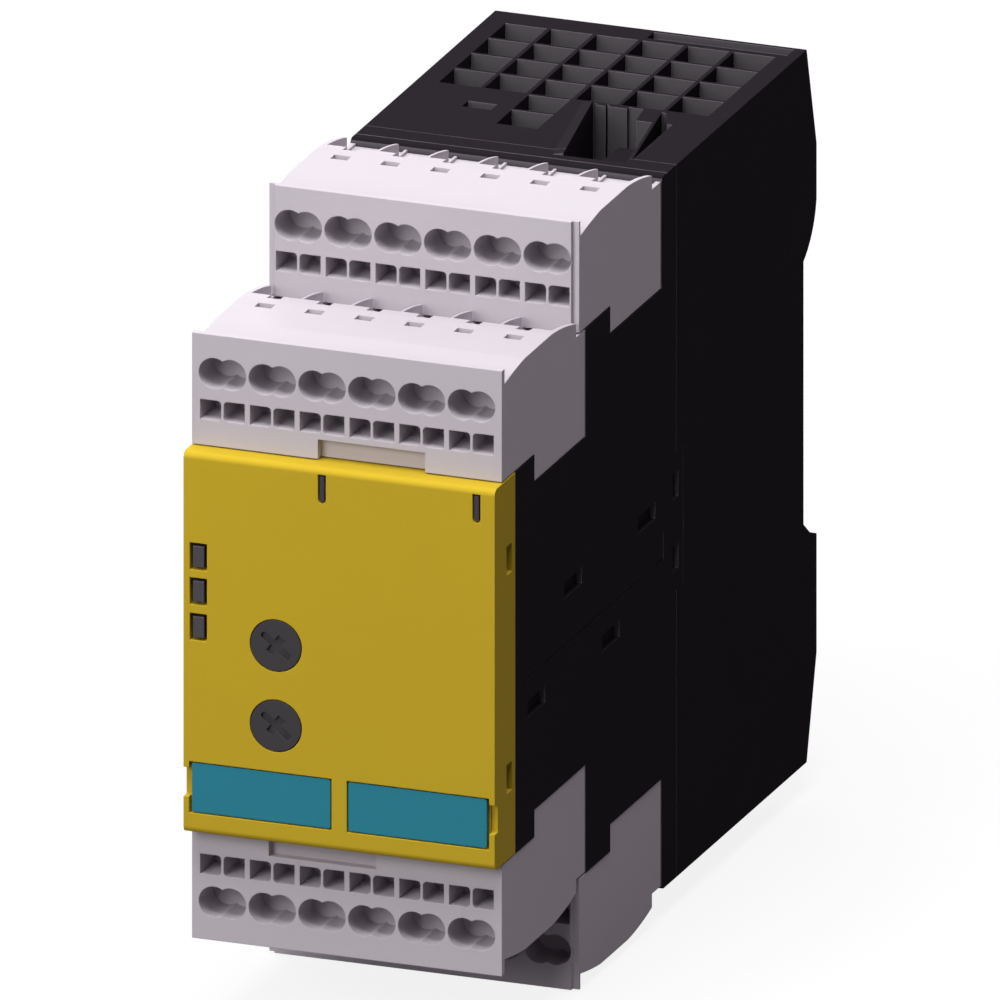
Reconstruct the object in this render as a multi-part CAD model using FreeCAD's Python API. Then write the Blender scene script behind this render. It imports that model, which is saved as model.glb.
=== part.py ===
import FreeCAD, Part
import math
import os

os.makedirs("parts", exist_ok=True)

# Safety relay for a 35 mm mounting rail, in millimetres.
# The pieces are laid out with x across, y as depth behind the front face and z above mid-height.
# Saving moves them so that the origin is the centre of the rail seat, +Z up and the front towards -Y.

# Terminal poles: their number and pitch set the width of the device
pole_count = 6
pole_pitch = 7.2
block_end_margin = 0.8
block_side_gap = 0.1

# Housing heights and walls
body_height = 102.2
side_wall = 1.8
cap_wall = 2.5
step_wall = 1.8

# Front cover
cover_depth = 7.8
cover_height = 54.6
cover_wall = 1.6
cover_edge_radius = 0.9
cover_joint_gap = 0.1

# Terminal block outline, from its own front face and the underside of its head
block_setback = 3.0
block_head_depth = 12.3
block_depth = 31.7
block_foot_drop = 3.9
block_base_height = 27.5
block_lip_thickness = 1.0
block_lip_height = 15.9
block_groove_depth = 1.3
block_groove_height = 13.8
roof_crest_front = 8.8
roof_crest_back = 19.0
roof_crest_height = 14.9
roof_end_depth = 28.4
roof_end_height = 13.3
roof_front_bulge = 0.1
roof_back_bulge = 0.25
rebate_height = 11.35
trough_start = 21.06
trough_floor = 10.93
trough_rib_width = 0.4
trough_side_wall = 0.7
tier_depth_shift = 29.0
tier_height_shift = 11.65
block_seat_gap = 0.1

# Terminal block pockets
pocket_depth = 5.6
pocket_web = 0.35
lobe_radius = 2.2
lobe_height = 10.4
square_height = 2.85
square_centre_height = 5.1
square_outer_margin = 0.75
square_corner_radius = 0.6
wire_hole_radius = 0.8
wire_hole_lift = 1.15
driver_slot_width = 2.0
driver_slot_height = 1.1
driver_slot_lift = 0.65
roof_slot_width = 2.4
roof_slot_length = 1.7
roof_slot_centre = 16.3
ledge_notch_width = 1.9
ledge_notch_start = 19.5
ledge_notch_depth = 1.2
hole_overlap = 0.5
pry_recess_start = -4.2
pry_recess_end = 11.3
pry_recess_height = 2.8
pry_recess_depth = 1.3
side_strip_width = 0.95
side_strip_depth = 0.6

# Clamp chambers inside a terminal block
chamber_wall = 1.3
chamber_front_web = 1.6
chamber_roof_wall = 1.5
chamber_tail_top = 9.6
chamber_tail_start = 19.9
spring_thickness = 0.4
spring_web = 0.25
spring_leg_drop = 3.0
spring_bend_height = 4.6
spring_foot = (1.7, 3.7)
spring_foot_height = 3.0
spring_bow = ((7.0, 5.6), (7.6, 7.8), (5.6, 10.2))
spring_tip = 3.2
spring_tip_drop = 0.5
bar_thickness = 0.8
bar_side_gap = 0.55
bar_roof_gap = 0.05
bar_lead = 1.4
bar_post_depth = 18.9
fork_leaf = 0.6
fork_root = 1.5
fork_length = 8.0
fork_margin = 1.2

# Plug pins between the terminal blocks and their boards
pin_size = 1.0
pin_drop = 1.0
pin_clearance = 0.1
pin_reach = 7.1
pin_hole_clearance = 0.2
board_hole_radius = 0.75
pin_bend_depth = 3.4
header_depth = 5.0
header_height = 5.0
board_thickness = 1.6
board_gap = 0.3
pin_tail = 0.8

# Joint between the two housings
parting_margin = 3.8
joint_gap = 0.1
tongue_length = 2.6
tongue_half_height = 9.8
crown_radius = 0.8
crown_line_margin = 3.6
crown_line_width = 0.2
crown_line_depth = 0.15

# Latch windows and seam line on the sides of the front housing
window_places = ((54.7, 3.0), (26.6, 3.0), (41.0, -9.4), (12.5, -9.4))
window_length = 6.7
window_height = 2.4
window_depth = 0.75
seam_width = 0.2
seam_height = -3.8
seam_front = 9.8
seam_back_margin = 5.0
tongue_window_margin = 1.4
tongue_window_length = 2.2
tongue_window_low = 3.3
tongue_window_high = 7.0
tongue_window_depth = 0.5

# Rear housing outline and rail seat
overall_depth = 123.1
rail_seat_back = 5.0
rail_height = 35.0
rail_thickness = 1.0
rail_axis_height = 2.3
recess_top = 21.1
recess_bottom = -16.6
back_slope_depth = 3.8
back_slope_height = 14.6
upper_shoulder_height = 28.5
shoulder_bulge_depth = 0.66
shoulder_bulge_height = 0.42
lower_bevel_depth = 2.4
lower_bevel_height = 1.9
lower_ramp_height = 1.0

# Ventilation grid
vent_cell = 6.0
vent_pitch_across = 6.6
vent_pitch_deep = 6.5
vent_columns = 6
vent_rows = 4
vent_back_margin = 8.2
vent_extra_column = 2
vent_extra_rows = 2
vent_shift = 0.1

# Recess in the top of the body, with a ledge and a block at its right and a thin slanted web beside them
recess_lead = 1.9
recess_vent_web = 0.5
recess_left_front = 6.9
recess_left_back = 3.1
recess_right_front = 16.5
recess_right_back = 13.1
recess_straight_edge = 16.3
recess_depth = 8.6
recess_liner = 1.0
recess_web = 0.45
recess_ledge_left = 9.7
recess_ledge_depth = 3.0
recess_ledge_margin = 7.8
recess_block_margin = 4.6
recess_block_width = 2.75
recess_slot_margin = 0.4
recess_slot_step = 0.8
recess_slot_end = 0.6
recess_ribs_across = ((3.75, 5.15), (5.55, 8.25))
recess_rib_depth = 0.6
recess_lip_width = 1.55
recess_lip_rise = 0.35

# Shallow slots in the top face
back_slot_left = 0.6
back_slot_margin = 1.6
back_slot_front = 7.1
back_slot_back = 4.4
top_slot_depth = 1.0
small_slot_left = -13.0
small_slot_width = 4.2
small_slot_margin = 41.8
small_slot_length = 2.4

# Rail hooks and latch
hook_width = 8.0
hook_centre = 13.0
hook_overlap = 1.2
rail_clearance = 0.3
hook_thickness = 2.2
hook_root = 6.0
hook_tip = 1.32
hook_tip_rise = 1.4
hook_inset = 0.5
latch_width = 16.0
latch_neck_width = 11.0
latch_plate = 2.0
latch_gap = 0.25
latch_plate_set_in = 1.3
latch_plate_drop = 3.0
latch_hook_root = 6.0
latch_hook_lead = 1.6
latch_hook_top_gap = 0.6
latch_tab = 2.1
latch_lip = 2.2
latch_eye_width = 5.0
latch_eye_top = 2.2
spring_window_width = 9.0
spring_window_top = -28.0
spring_window_bottom = -44.0
spring_post_height = 2.2
spring_wire = 0.6
spring_bends = 5
spring_side_gap = 0.8
spring_strip = 1.0

# Front panel items
led_width = 2.5
led_height = 3.9
led_tops = (14.4, 9.4, 4.3)
led_margin = 0.9
guide_gap = 0.45
guide_set_back = 0.05
guide_side_gap = 0.3
guide_stem_inset = 0.75
lamp_height = 1.9
lamp_width = 2.0
lamp_offset = 2.3
lamp_gap = 0.5
dial_radius = 3.63
dial_x = -9.15
dial_heights = (1.1, -10.4)
dial_gap = 0.15
dial_thickness = 1.6
dial_shaft_radius = 1.6
dial_shaft_end_gap = 2.0
dial_shaft_overlap = 0.1
cross_long = 5.2
cross_long_width = 1.0
cross_short = 2.9
cross_short_width = 1.3
cross_angle = -38.0
cross_depth = 0.4
label_width = 20.0
label_height = 7.0
label_thickness = 0.8
label_inner_x = 1.3
label_bottom = -24.2
label_gap = 0.2
label_outer_gap = 0.4
label_corner_radius = 0.3
label_recess = 0.9
label_notch_bottom = -22.1
label_notch_top = -17.9
label_notch_depth = 1.2
label_notch_overlap = 0.1
top_slot_centres = (-2.5, 19.85)
top_slot_width = 1.15
top_slot_bottom = 22.3
top_slot_top = 26.4
top_slot_rib_inset = 0.25
cover_slot_front = 4.5
cover_slot_back = 6.7
cover_slot_bottom = 13.6
cover_slot_top = 17.7
catch_thickness = 1.4
catch_root = 3.0
catch_gap = 0.2
catch_head_inset = 0.8
bezel_thickness = 1.5
bezel_gap = 0.2
bezel_edge_gap = 0.25

# Circuit boards and what they carry
side_board_gap = 2.4
side_board_half = 20.3
rear_board_end_gap = 2.6
rear_board_lead = 1.5
terminal_board_height = 21.4
terminal_board_gap = 1.0
front_board_half = 25.0
mount_gap = 0.2
guide_rib_height = 2.0
guide_rib_place = 15.0
guide_rib_front = 76.0
guide_rib_root = 0.2
relay_count = 3
relay_length = 29.0
relay_width = 15.0
relay_rise = 25.0
relay_spacing = 17.0
relay_top_gap = 0.5
relay_back_gap = 6.3
relay_edge_radius = 0.8
transformer_length = 29.0
transformer_rise = 22.0
transformer_stack = 12.0
transformer_leg = 8.0
transformer_yoke = 4.0
transformer_lead = 14.0
transformer_centre_height = -29.0
coil_build = 6.0
coil_gap = 0.2
coil_flange = 1.2
coil_inset = 0.6
capacitor_radius = 5.0
capacitor_length = 20.0
capacitor_depth = 55.0
capacitor_heights = (8.0, -8.0)
capacitor_groove_rise = 2.2
capacitor_groove_radius = 0.6
pot_width = 9.6
pot_height = 10.0
pot_depth = 4.3
pot_edge_radius = 0.6
pot_floor = 1.6
chip_size = 10.0
chip_rise = 1.4
chip_lift = 0.15
chip_leg_rise = 0.5
chip_leg_reach = 0.9
chip_corner = 0.8
chip_places = ((52.0, 8.0), (70.0, -8.0))
strip_size = 2.5
strip_half = 12.0
edge_strip_front = 46.0
edge_strip_length = 18.0

# Smaller parts on the boards
rectifier_front = 26.0
rectifier_length = 10.0
rectifier_rise = 8.0
rectifier_thickness = 4.8
rectifier_edge_radius = 0.6
varistor_radius = 5.0
varistor_lift = 0.2
varistor_front = 68.0
varistor_thickness = 4.0
varistor_height = -12.0
fuse_radius = 4.2
fuse_rise = 8.0
fuse_depth = 70.0
fuse_height = 9.0
regulator_front = 96.0
regulator_width = 10.0
regulator_rise = 4.5
regulator_bottom = -8.0
regulator_top = 1.0
regulator_tab_thickness = 1.3
regulator_tab_top = 7.5
regulator_hole_radius = 1.8
regulator_hole_height = 4.6
coupler_count = 4
coupler_front = 26.0
coupler_length = 8.0
coupler_rise = 3.6
coupler_height = 6.4
coupler_pitch = 9.2
coupler_lowest = -17.0

# Values worked out from the ones above
block_width = pole_count * pole_pitch + 2 * block_end_margin
width = block_width + 2 * block_side_gap
half_width = width / 2
half_block = block_width / 2
body_half = body_height / 2
cover_half = cover_height / 2
inner_half = half_width - side_wall
rail_seat_depth = overall_depth - rail_seat_back
pole_centres = [(index - (pole_count - 1) / 2) * pole_pitch for index in range(pole_count)]
lobe_spacing = pole_pitch - 2 * lobe_radius - pocket_web
square_width = (pole_pitch - square_outer_margin - pocket_web) / 2
square_offset = (square_width + pocket_web) / 2
chamber_half = (pole_pitch - chamber_wall) / 2
chamber_front = pocket_depth + chamber_front_web
chamber_top = roof_crest_height - chamber_roof_wall
bar_half = chamber_half - bar_side_gap
board_outer = inner_half - side_board_gap
board_inner = board_outer - board_thickness
rear_block_setback = block_setback + tier_depth_shift
rear_base_height = block_base_height + tier_height_shift
fork_end = block_depth - fork_margin
fork_start = fork_end - fork_length
origin = FreeCAD.Vector(0, -rail_seat_depth, -rail_axis_height)

# Depths and half heights where the body steps to carry the terminal blocks
tiers = [
    (cover_depth + cover_joint_gap, block_base_height - block_seat_gap),
    (block_setback + block_head_depth - block_seat_gap,
     block_base_height - block_foot_drop - block_seat_gap),
    (block_setback + block_depth + block_seat_gap, rear_base_height - block_seat_gap),
    (rear_block_setback + block_head_depth - block_seat_gap,
     rear_base_height - block_foot_drop - block_seat_gap),
    (rear_block_setback + block_depth + block_seat_gap, body_half),
]
front_wall_back = tiers[2][0] + step_wall
rear_wall_back = tiers[4][0] + step_wall
panel_step = tiers[1][0] - step_wall
parting_depth = rear_wall_back + parting_margin

# Places in the top recess
vents_front = overall_depth - vent_back_margin - (vent_rows - 1) * vent_pitch_deep - vent_cell
recess_front = parting_depth - recess_lead
recess_back = vents_front - recess_vent_web
recess_ledge_back = recess_back - recess_ledge_margin
recess_block_front = recess_back - recess_block_margin
recess_slot_back = recess_back - recess_slot_margin

# Places behind the cover
bezel_front = cover_wall + bezel_gap
bezel_back = bezel_front + bezel_thickness
front_board_front = panel_step - mount_gap - board_thickness
led_left = -half_width + led_margin
lamp_centre_x = led_left + lamp_offset

# Places of the boards and of what they carry
terminal_board_top = terminal_board_height + board_thickness
relay_top = body_half - recess_depth - recess_liner - relay_top_gap
relay_start = rail_seat_depth - side_wall - relay_back_gap - relay_length
rear_board_half = body_half - cap_wall - rear_board_end_gap
rear_board_start = relay_start - rear_board_lead
terminal_board_end = rear_board_start - terminal_board_gap
transformer_centre_depth = relay_start + transformer_lead

# Places of the rail latch and its spring
latch_plate_front = rail_seat_depth - latch_plate_set_in
latch_plate_back = latch_plate_front + latch_plate
latch_channel_floor = latch_plate_front - latch_gap
latch_channel_back = latch_plate_back + latch_gap
latch_hook_tip = rail_axis_height - rail_height / 2 + hook_overlap
latch_hook_front = rail_seat_depth + rail_thickness + rail_clearance
latch_plate_top = recess_bottom - latch_plate_drop
post_top = spring_window_bottom + latch_gap + spring_post_height


def box(x0, x1, y0, y1, z0, z1):
    """A block between two corners."""
    return Part.makeBox(x1 - x0, y1 - y0, z1 - z0, FreeCAD.Vector(x0, y0, z0))


def prism_along_x(outline, x0, x1):
    """A (depth, height) outline drawn out across the device."""
    points = [FreeCAD.Vector(x0, y, z) for y, z in outline]
    face = Part.Face(Part.makePolygon(points + points[:1]))
    return face.extrude(FreeCAD.Vector(x1 - x0, 0, 0))


def prism_along_y(outline, y0, y1):
    """An (across, height) outline drawn out backward."""
    points = [FreeCAD.Vector(x, y0, z) for x, z in outline]
    face = Part.Face(Part.makePolygon(points + points[:1]))
    return face.extrude(FreeCAD.Vector(0, y1 - y0, 0))


def rod_along_y(radius, x, z, y0, y1):
    """A round rod that runs backward."""
    return Part.makeCylinder(radius, y1 - y0, FreeCAD.Vector(x, y0, z), FreeCAD.Vector(0, 1, 0))


def rod_along_x(radius, y, z, x0, x1):
    """A round rod that runs across."""
    return Part.makeCylinder(radius, x1 - x0, FreeCAD.Vector(x0, y, z), FreeCAD.Vector(1, 0, 0))


def edges_along(shape, axis, keep):
    """The straight edges of a shape that run along an axis and whose midpoint passes a test."""
    chosen = []
    for edge in shape.Edges:
        if len(edge.Vertexes) != 2:
            continue
        direction = edge.Vertexes[1].Point.sub(edge.Vertexes[0].Point)
        if direction.Length < 1e-6 or abs(direction.dot(axis)) < 0.999 * direction.Length:
            continue
        middle = edge.Vertexes[0].Point.add(direction.multiply(0.5))
        if keep(middle):
            chosen.append(edge)
    return chosen


def rounded_box(x0, x1, y0, y1, z0, z1, radius, axis):
    """A block whose edges along one axis are rounded."""
    block = box(x0, x1, y0, y1, z0, z1)
    return block.makeFillet(radius, edges_along(block, axis, lambda middle: True))


def strip_outline(path, thickness):
    """The outline of a bent strip of even thickness that follows a path of points."""
    half = thickness / 2
    left = []
    right = []
    for index, (u, v) in enumerate(path):
        normals = []
        for first, second in ((index - 1, index), (index, index + 1)):
            if first < 0 or second >= len(path):
                continue
            du = path[second][0] - path[first][0]
            dv = path[second][1] - path[first][1]
            length = math.hypot(du, dv)
            normals.append((-dv / length, du / length))
        nu = sum(normal[0] for normal in normals) / len(normals)
        nv = sum(normal[1] for normal in normals) / len(normals)
        scale = half / (nu * nu + nv * nv)
        left.append((u + nu * scale, v + nv * scale))
        right.append((u - nu * scale, v - nv * scale))
    return left + right[::-1]


def mirrored(upper):
    """A closed outline from its upper half, which runs from front to back."""
    return upper + [(y, -z) for y, z in reversed(upper)]


def turned_over(shape):
    """A copy turned half a turn about the depth axis, for the lower half of the device."""
    copy = shape.copy()
    copy.rotate(FreeCAD.Vector(0, 0, 0), FreeCAD.Vector(0, 1, 0), 180)
    return copy


def moved(shape, x, y, z):
    """A copy moved by a vector."""
    copy = shape.copy()
    copy.translate(FreeCAD.Vector(x, y, z))
    return copy


def save(name, solids):
    """Write one piece, or one group of like pieces, in the device's own frame."""
    shape = solids[0] if len(solids) == 1 else Part.makeCompound(solids)
    moved(shape, origin.x, origin.y, origin.z).exportStep("parts/" + name + ".step")


def stepped_outline(inset, cap_inset, start, end):
    """The body's stepped side outline, drawn inward by a wall."""
    upper = []
    for index, (depth, half) in enumerate(tiers):
        level = half - (cap_inset if index == len(tiers) - 1 else inset)
        if index == 0:
            upper.append((start, level))
            continue
        rising = half > tiers[index - 1][1]
        station = depth + inset if rising else depth - inset
        upper.append((station, upper[-1][1]))
        upper.append((station, level))
    upper.append((end, upper[-1][1]))
    return mirrored(upper)


def pin_height(base_height):
    """Height of the plug pins of the terminal block whose head starts at a height."""
    return base_height - pin_drop


def slanted(front, back, depth):
    """Place across, at a depth, on a line that runs from the recess's front to its back."""
    return front + (back - front) * (depth - recess_front) / (recess_back - recess_front)


def recess_left(depth):
    """The left edge of the top recess at a depth."""
    return slanted(recess_left_front, recess_left_back, depth)


def recess_right(depth):
    """The right face of the recess's slanted web at a depth."""
    return slanted(recess_right_front, recess_right_back, depth)


def recess_spaces(spread):
    """The three spaces of the top recess, or the liners around them."""
    slant = (recess_right_front - recess_right_back) / (recess_back - recess_front)
    tip = recess_front + (recess_right_front - recess_straight_edge) / slant
    beside_block = [
        (recess_left(recess_front), recess_front),
        (recess_ledge_left, recess_front),
        (recess_ledge_left, recess_ledge_back),
        (recess_right(recess_ledge_back) - recess_web, recess_ledge_back),
        (recess_right(recess_block_front) - recess_web, recess_block_front),
        (recess_right(recess_block_front) - recess_block_width, recess_block_front),
        (recess_right(recess_back) - recess_block_width, recess_back),
        (recess_left(recess_back), recess_back),
    ]
    over_ledge = [
        (recess_left(recess_front), recess_front),
        (recess_right(recess_front) - recess_web, recess_front),
        (recess_right(recess_ledge_back) - recess_web, recess_ledge_back),
        (recess_left(recess_ledge_back), recess_ledge_back),
    ]
    beside_web = [
        (recess_straight_edge, tip),
        (recess_straight_edge, recess_block_front),
        (recess_straight_edge - recess_slot_step, recess_block_front),
        (recess_right(recess_slot_back) + recess_slot_end, recess_slot_back),
        (recess_right(recess_slot_back), recess_slot_back),
    ]
    spaces = []
    for outline, depth in (
        (beside_block, recess_depth),
        (over_ledge, recess_ledge_depth),
        (beside_web, recess_depth),
    ):
        points = [FreeCAD.Vector(x, y, body_half - depth - spread) for x, y in outline]
        wire = Part.makePolygon(points + points[:1])
        if spread:
            wire = wire.makeOffset2D(spread)
        spaces.append(Part.Face(wire).extrude(FreeCAD.Vector(0, 0, depth + spread)))
    return spaces


def recess_lip():
    """The low lip along the recess's left edge, which rises towards the recess."""
    corner = FreeCAD.Vector(recess_left(recess_front), recess_front, body_half)
    foot = corner - FreeCAD.Vector(0, 0, recess_rib_depth)
    face = Part.Face(Part.makePolygon([
        foot - FreeCAD.Vector(recess_lip_width, 0, 0),
        corner - FreeCAD.Vector(recess_lip_width, 0, 0),
        corner + FreeCAD.Vector(0, 0, recess_lip_rise),
        foot,
        foot - FreeCAD.Vector(recess_lip_width, 0, 0),
    ]))
    return face.extrude(FreeCAD.Vector(recess_left_back - recess_left_front, recess_back - recess_front, 0))


def recess_walls(start, end):
    """What the top recess adds to a housing between two depths: its liners and its lip."""
    between = box(-half_width, half_width, start, end, 0, body_half + 1)
    return [wall.common(between) for wall in recess_spaces(recess_liner) + [recess_lip()]]


def front_housing():
    """The stepped shell that carries the terminal blocks, the front board and the cover."""
    shell = prism_along_x(stepped_outline(0, 0, tiers[0][0], parting_depth), -half_width, half_width)
    crown = edges_along(shell, FreeCAD.Vector(1, 0, 0),
                        lambda middle: middle.y < parting_depth - 1 and abs(middle.z) > body_half - 0.01)
    shell = shell.makeFillet(crown_radius, crown)
    hollow = stepped_outline(step_wall, cap_wall, cover_depth - 1, parting_depth + 1)
    shell = shell.cut(prism_along_x(hollow, -inner_half, inner_half))
    added = recess_walls(0, parting_depth)
    removed = recess_spaces(0) + crown_lines() + pin_holes()
    for side in (-1, 1):
        added.append(box(*sorted((side * inner_half, side * half_width)),
                         parting_depth - 1, parting_depth + tongue_length,
                         -tongue_half_height, tongue_half_height))
        for half in (-1, 1):
            added += cover_catch(side, half)
        removed += side_marks(side)
    return shell.fuse(added).cut(removed).removeSplitter()


def cover_catch(side, half):
    """One catch for the cover: an arm inside its wall, the arm's root, and the head in its slot."""
    low, high = sorted((half * (cover_slot_bottom + catch_gap), half * (cover_slot_top - catch_gap)))
    face = inner_half - joint_gap
    root_back = tiers[0][0] + catch_root
    root_front = tiers[0][0] + step_wall / 3
    arm = sorted((side * (face - catch_thickness), side * face))
    root = sorted((side * (face - catch_thickness), side * (inner_half + step_wall / 4)))
    head = sorted((side * (face - catch_gap), side * (half_width - catch_head_inset)))
    return [
        box(*arm, bezel_back + catch_gap, root_back, low, high),
        box(*root, root_front, root_back, low, high),
        box(*head, cover_slot_front + catch_gap, cover_slot_back - catch_gap, low, high),
    ]


def pin_holes():
    """The holes through the walls behind the terminal blocks, one for each plug pin."""
    hole_half = pin_size / 2 + pin_hole_clearance
    holes = []
    for base, wall_front, wall_back in (
        (block_base_height, tiers[2][0], front_wall_back),
        (rear_base_height, tiers[4][0], rear_wall_back),
    ):
        height = pin_height(base)
        for x in pole_centres:
            hole = box(x - hole_half, x + hole_half, wall_front - 1, wall_back + 1,
                       height - hole_half, height + hole_half)
            holes += [hole, turned_over(hole)]
    return holes


def crown_lines():
    """The fine line across the top of the front housing, and its like across the bottom."""
    front = parting_depth - crown_line_margin
    line = box(-half_width - 1, half_width + 1, front, front + crown_line_width,
               body_half - crown_line_depth, body_half + 1)
    return [line, turned_over(line)]


def side_marks(side):
    """The shallow latch windows and the long seam line on one side of the front housing."""
    seam_back = parting_depth - seam_back_margin
    tongue_window_front = parting_depth - tongue_window_margin
    marks = []

    def cut_in(depth, y0, y1, z0, z1):
        x0, x1 = sorted((side * (half_width - depth), side * (half_width + 1)))
        marks.append(box(x0, x1, y0, y1, z0, z1))

    for front, bottom in window_places:
        cut_in(window_depth, front, front + window_length, bottom, bottom + window_height)
    for half in (-1, 1):
        low, high = sorted((half * tongue_window_low, half * tongue_window_high))
        cut_in(tongue_window_depth, tongue_window_front,
               tongue_window_front + tongue_window_length, low, high)
    cut_in(seam_width, seam_front, seam_back, seam_height, seam_height + seam_width)
    cut_in(seam_width, seam_back, seam_back + seam_width, seam_height, 0)
    return marks


def rear_outline():
    """The rear housing's outer side outline without its round shoulder."""
    front = parting_depth + joint_gap
    slope_front = overall_depth - back_slope_depth
    slope_height = body_half - back_slope_height
    return [
        (front, -body_half),
        (slope_front, -body_half),
        (overall_depth, -slope_height),
        (overall_depth, recess_bottom - lower_bevel_height - lower_ramp_height),
        (rail_seat_depth + lower_bevel_depth, recess_bottom - lower_bevel_height),
        (rail_seat_depth, recess_bottom),
        (rail_seat_depth, recess_top),
        (overall_depth, recess_top),
        (overall_depth, slope_height),
        (slope_front, body_half),
        (front, body_half),
    ]


def rear_hollow():
    """The space inside the rear housing."""
    inner_back = overall_depth - side_wall
    slope_height = body_half - back_slope_height
    wall_front = rail_seat_depth - side_wall
    inner_cap = body_half - cap_wall
    slope_end = overall_depth - back_slope_depth - side_wall
    return [
        (parting_depth - 1, -inner_cap),
        (slope_end, -inner_cap),
        (inner_back, -slope_height),
        (inner_back, recess_bottom - lower_bevel_height - lower_ramp_height - side_wall),
        (wall_front, recess_bottom - side_wall),
        (wall_front, recess_top + side_wall),
        (inner_back, upper_shoulder_height + side_wall),
        (inner_back, slope_height),
        (slope_end, inner_cap),
        (parting_depth - 1, inner_cap),
    ]


def shoulder_cut():
    """What the round shoulder above the rail seat takes off the rear outline."""
    rise = upper_shoulder_height - recess_top
    start = FreeCAD.Vector(-half_width - 1, rail_seat_depth, recess_top)
    end = FreeCAD.Vector(-half_width - 1, overall_depth, upper_shoulder_height)
    corner = FreeCAD.Vector(-half_width - 1, overall_depth + 1, recess_top - 1)
    middle = FreeCAD.Vector(-half_width - 1, rail_seat_depth + rail_seat_back * shoulder_bulge_depth,
                            recess_top + rise * shoulder_bulge_height)
    arc = Part.Arc(start, middle, end).toShape()
    rest = Part.makePolygon([
        end,
        FreeCAD.Vector(end.x, corner.y, end.z),
        corner,
        FreeCAD.Vector(start.x, start.y, corner.z),
        start,
    ])
    face = Part.Face(Part.Wire([arc] + rest.Edges))
    return face.extrude(FreeCAD.Vector(width + 2, 0, 0))


def rear_housing():
    """The box that closes the back, with vents, the rail seat and the latch channel."""
    outer = prism_along_x(rear_outline(), -half_width, half_width)
    shell = outer.cut(prism_along_x(rear_hollow(), -inner_half, inner_half))
    liner_half = latch_width / 2 + latch_gap + side_wall
    liner = box(-liner_half, liner_half, latch_channel_floor - side_wall, overall_depth,
                -body_half, latch_hook_tip + latch_gap).common(outer)
    shell = shell.fuse([liner] + recess_walls(parting_depth + joint_gap, overall_depth))
    shell = shell.cut([shoulder_cut()] + recess_spaces(0))
    shell = shell.cut(latch_channel() + vents() + tongue_notches() + top_slots())
    shell = shell.fuse(guide_ribs() + rail_hooks() + recess_ribs() + [spring_post()])
    return shell.removeSplitter()


def latch_channel():
    """The undercut channel, open at the back and the bottom, that the rail latch slides in."""
    wide = latch_width / 2 + latch_gap
    neck = latch_neck_width / 2 + latch_gap
    below = -body_half - 1
    top = latch_plate_top + latch_gap
    return [
        box(-wide, wide, latch_channel_floor, latch_channel_back, below, top),
        box(-neck, neck, latch_channel_floor, overall_depth + 1, below, latch_hook_tip + 1),
    ]


def vents():
    """The ventilation grid through the top, its like through the bottom, and the short extra column."""
    cells = []
    left = -((vent_columns - 1) * vent_pitch_across + vent_cell) / 2 + vent_shift
    for row in range(vent_rows + vent_extra_rows):
        back = overall_depth - vent_back_margin - row * vent_pitch_deep
        for column in range(vent_columns):
            if row >= vent_rows and column != vent_extra_column:
                continue
            x0 = left + column * vent_pitch_across
            cells.append(box(x0, x0 + vent_cell, back - vent_cell, back,
                             body_half - cap_wall - 1, body_half + 1))
            if row < vent_rows:
                cells.append(box(x0, x0 + vent_cell, back - vent_cell, back,
                                 -body_half - 1, -body_half + cap_wall + 1))
    return cells


def tongue_notches():
    """The notches in the side walls that take the front housing's tongues."""
    notches = []
    for side in (-1, 1):
        x0, x1 = sorted((side * (inner_half - joint_gap), side * (half_width + 1)))
        notches.append(box(x0, x1, parting_depth, parting_depth + tongue_length + joint_gap,
                           -tongue_half_height - joint_gap, tongue_half_height + joint_gap))
    return notches


def top_slots():
    """The shallow slots in the top face."""
    small_front = overall_depth - small_slot_margin
    return [
        box(back_slot_left, half_width - back_slot_margin,
            overall_depth - back_slot_front, overall_depth - back_slot_back,
            body_half - top_slot_depth, body_half + 1),
        box(small_slot_left, small_slot_left + small_slot_width,
            small_front, small_front + small_slot_length,
            body_half - top_slot_depth, body_half + 1),
    ]


def guide_ribs():
    """Ribs on the side walls that hold the long boards, and reach the wall behind the rail seat."""
    ribs = []
    for side in (-1, 1):
        x0, x1 = sorted((side * (board_outer + mount_gap), side * (inner_half + guide_rib_root)))
        for half in (-1, 1):
            centre = half * guide_rib_place
            ribs.append(box(x0, x1, guide_rib_front, rail_seat_depth - side_wall + guide_rib_root,
                            centre - guide_rib_height / 2, centre + guide_rib_height / 2))
    return ribs


def rail_hooks():
    """The two fixed hooks that catch the rail's upper edge."""
    tip = rail_axis_height + rail_height / 2 - hook_overlap
    root = recess_top + hook_root
    outline = [
        (latch_hook_front, tip),
        (latch_hook_front + hook_tip, tip),
        (latch_hook_front + hook_thickness, tip + hook_tip_rise),
        (latch_hook_front + hook_thickness, root),
        (rail_seat_depth - hook_inset, root),
        (rail_seat_depth - hook_inset, recess_top),
        (latch_hook_front, recess_top),
    ]
    hooks = []
    for side in (-1, 1):
        centre = side * hook_centre
        hooks.append(prism_along_x(outline, centre - hook_width / 2, centre + hook_width / 2))
    return hooks


def recess_ribs():
    """The upright ribs on the back wall of the top recess."""
    bottom = body_half - recess_depth
    front = recess_back - recess_rib_depth
    ribs = []
    for left, right in recess_ribs_across:
        ribs.append(box(left, right, front, recess_back + recess_liner / 2,
                        bottom - recess_liner / 2, body_half))
    return ribs


def spring_post():
    """The fixed block in the latch channel that the latch spring pushes against."""
    half = spring_window_width / 2 - latch_gap
    return box(-half, half, latch_channel_floor - latch_gap, latch_plate_back - latch_gap,
               post_top - spring_post_height, post_top)


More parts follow.
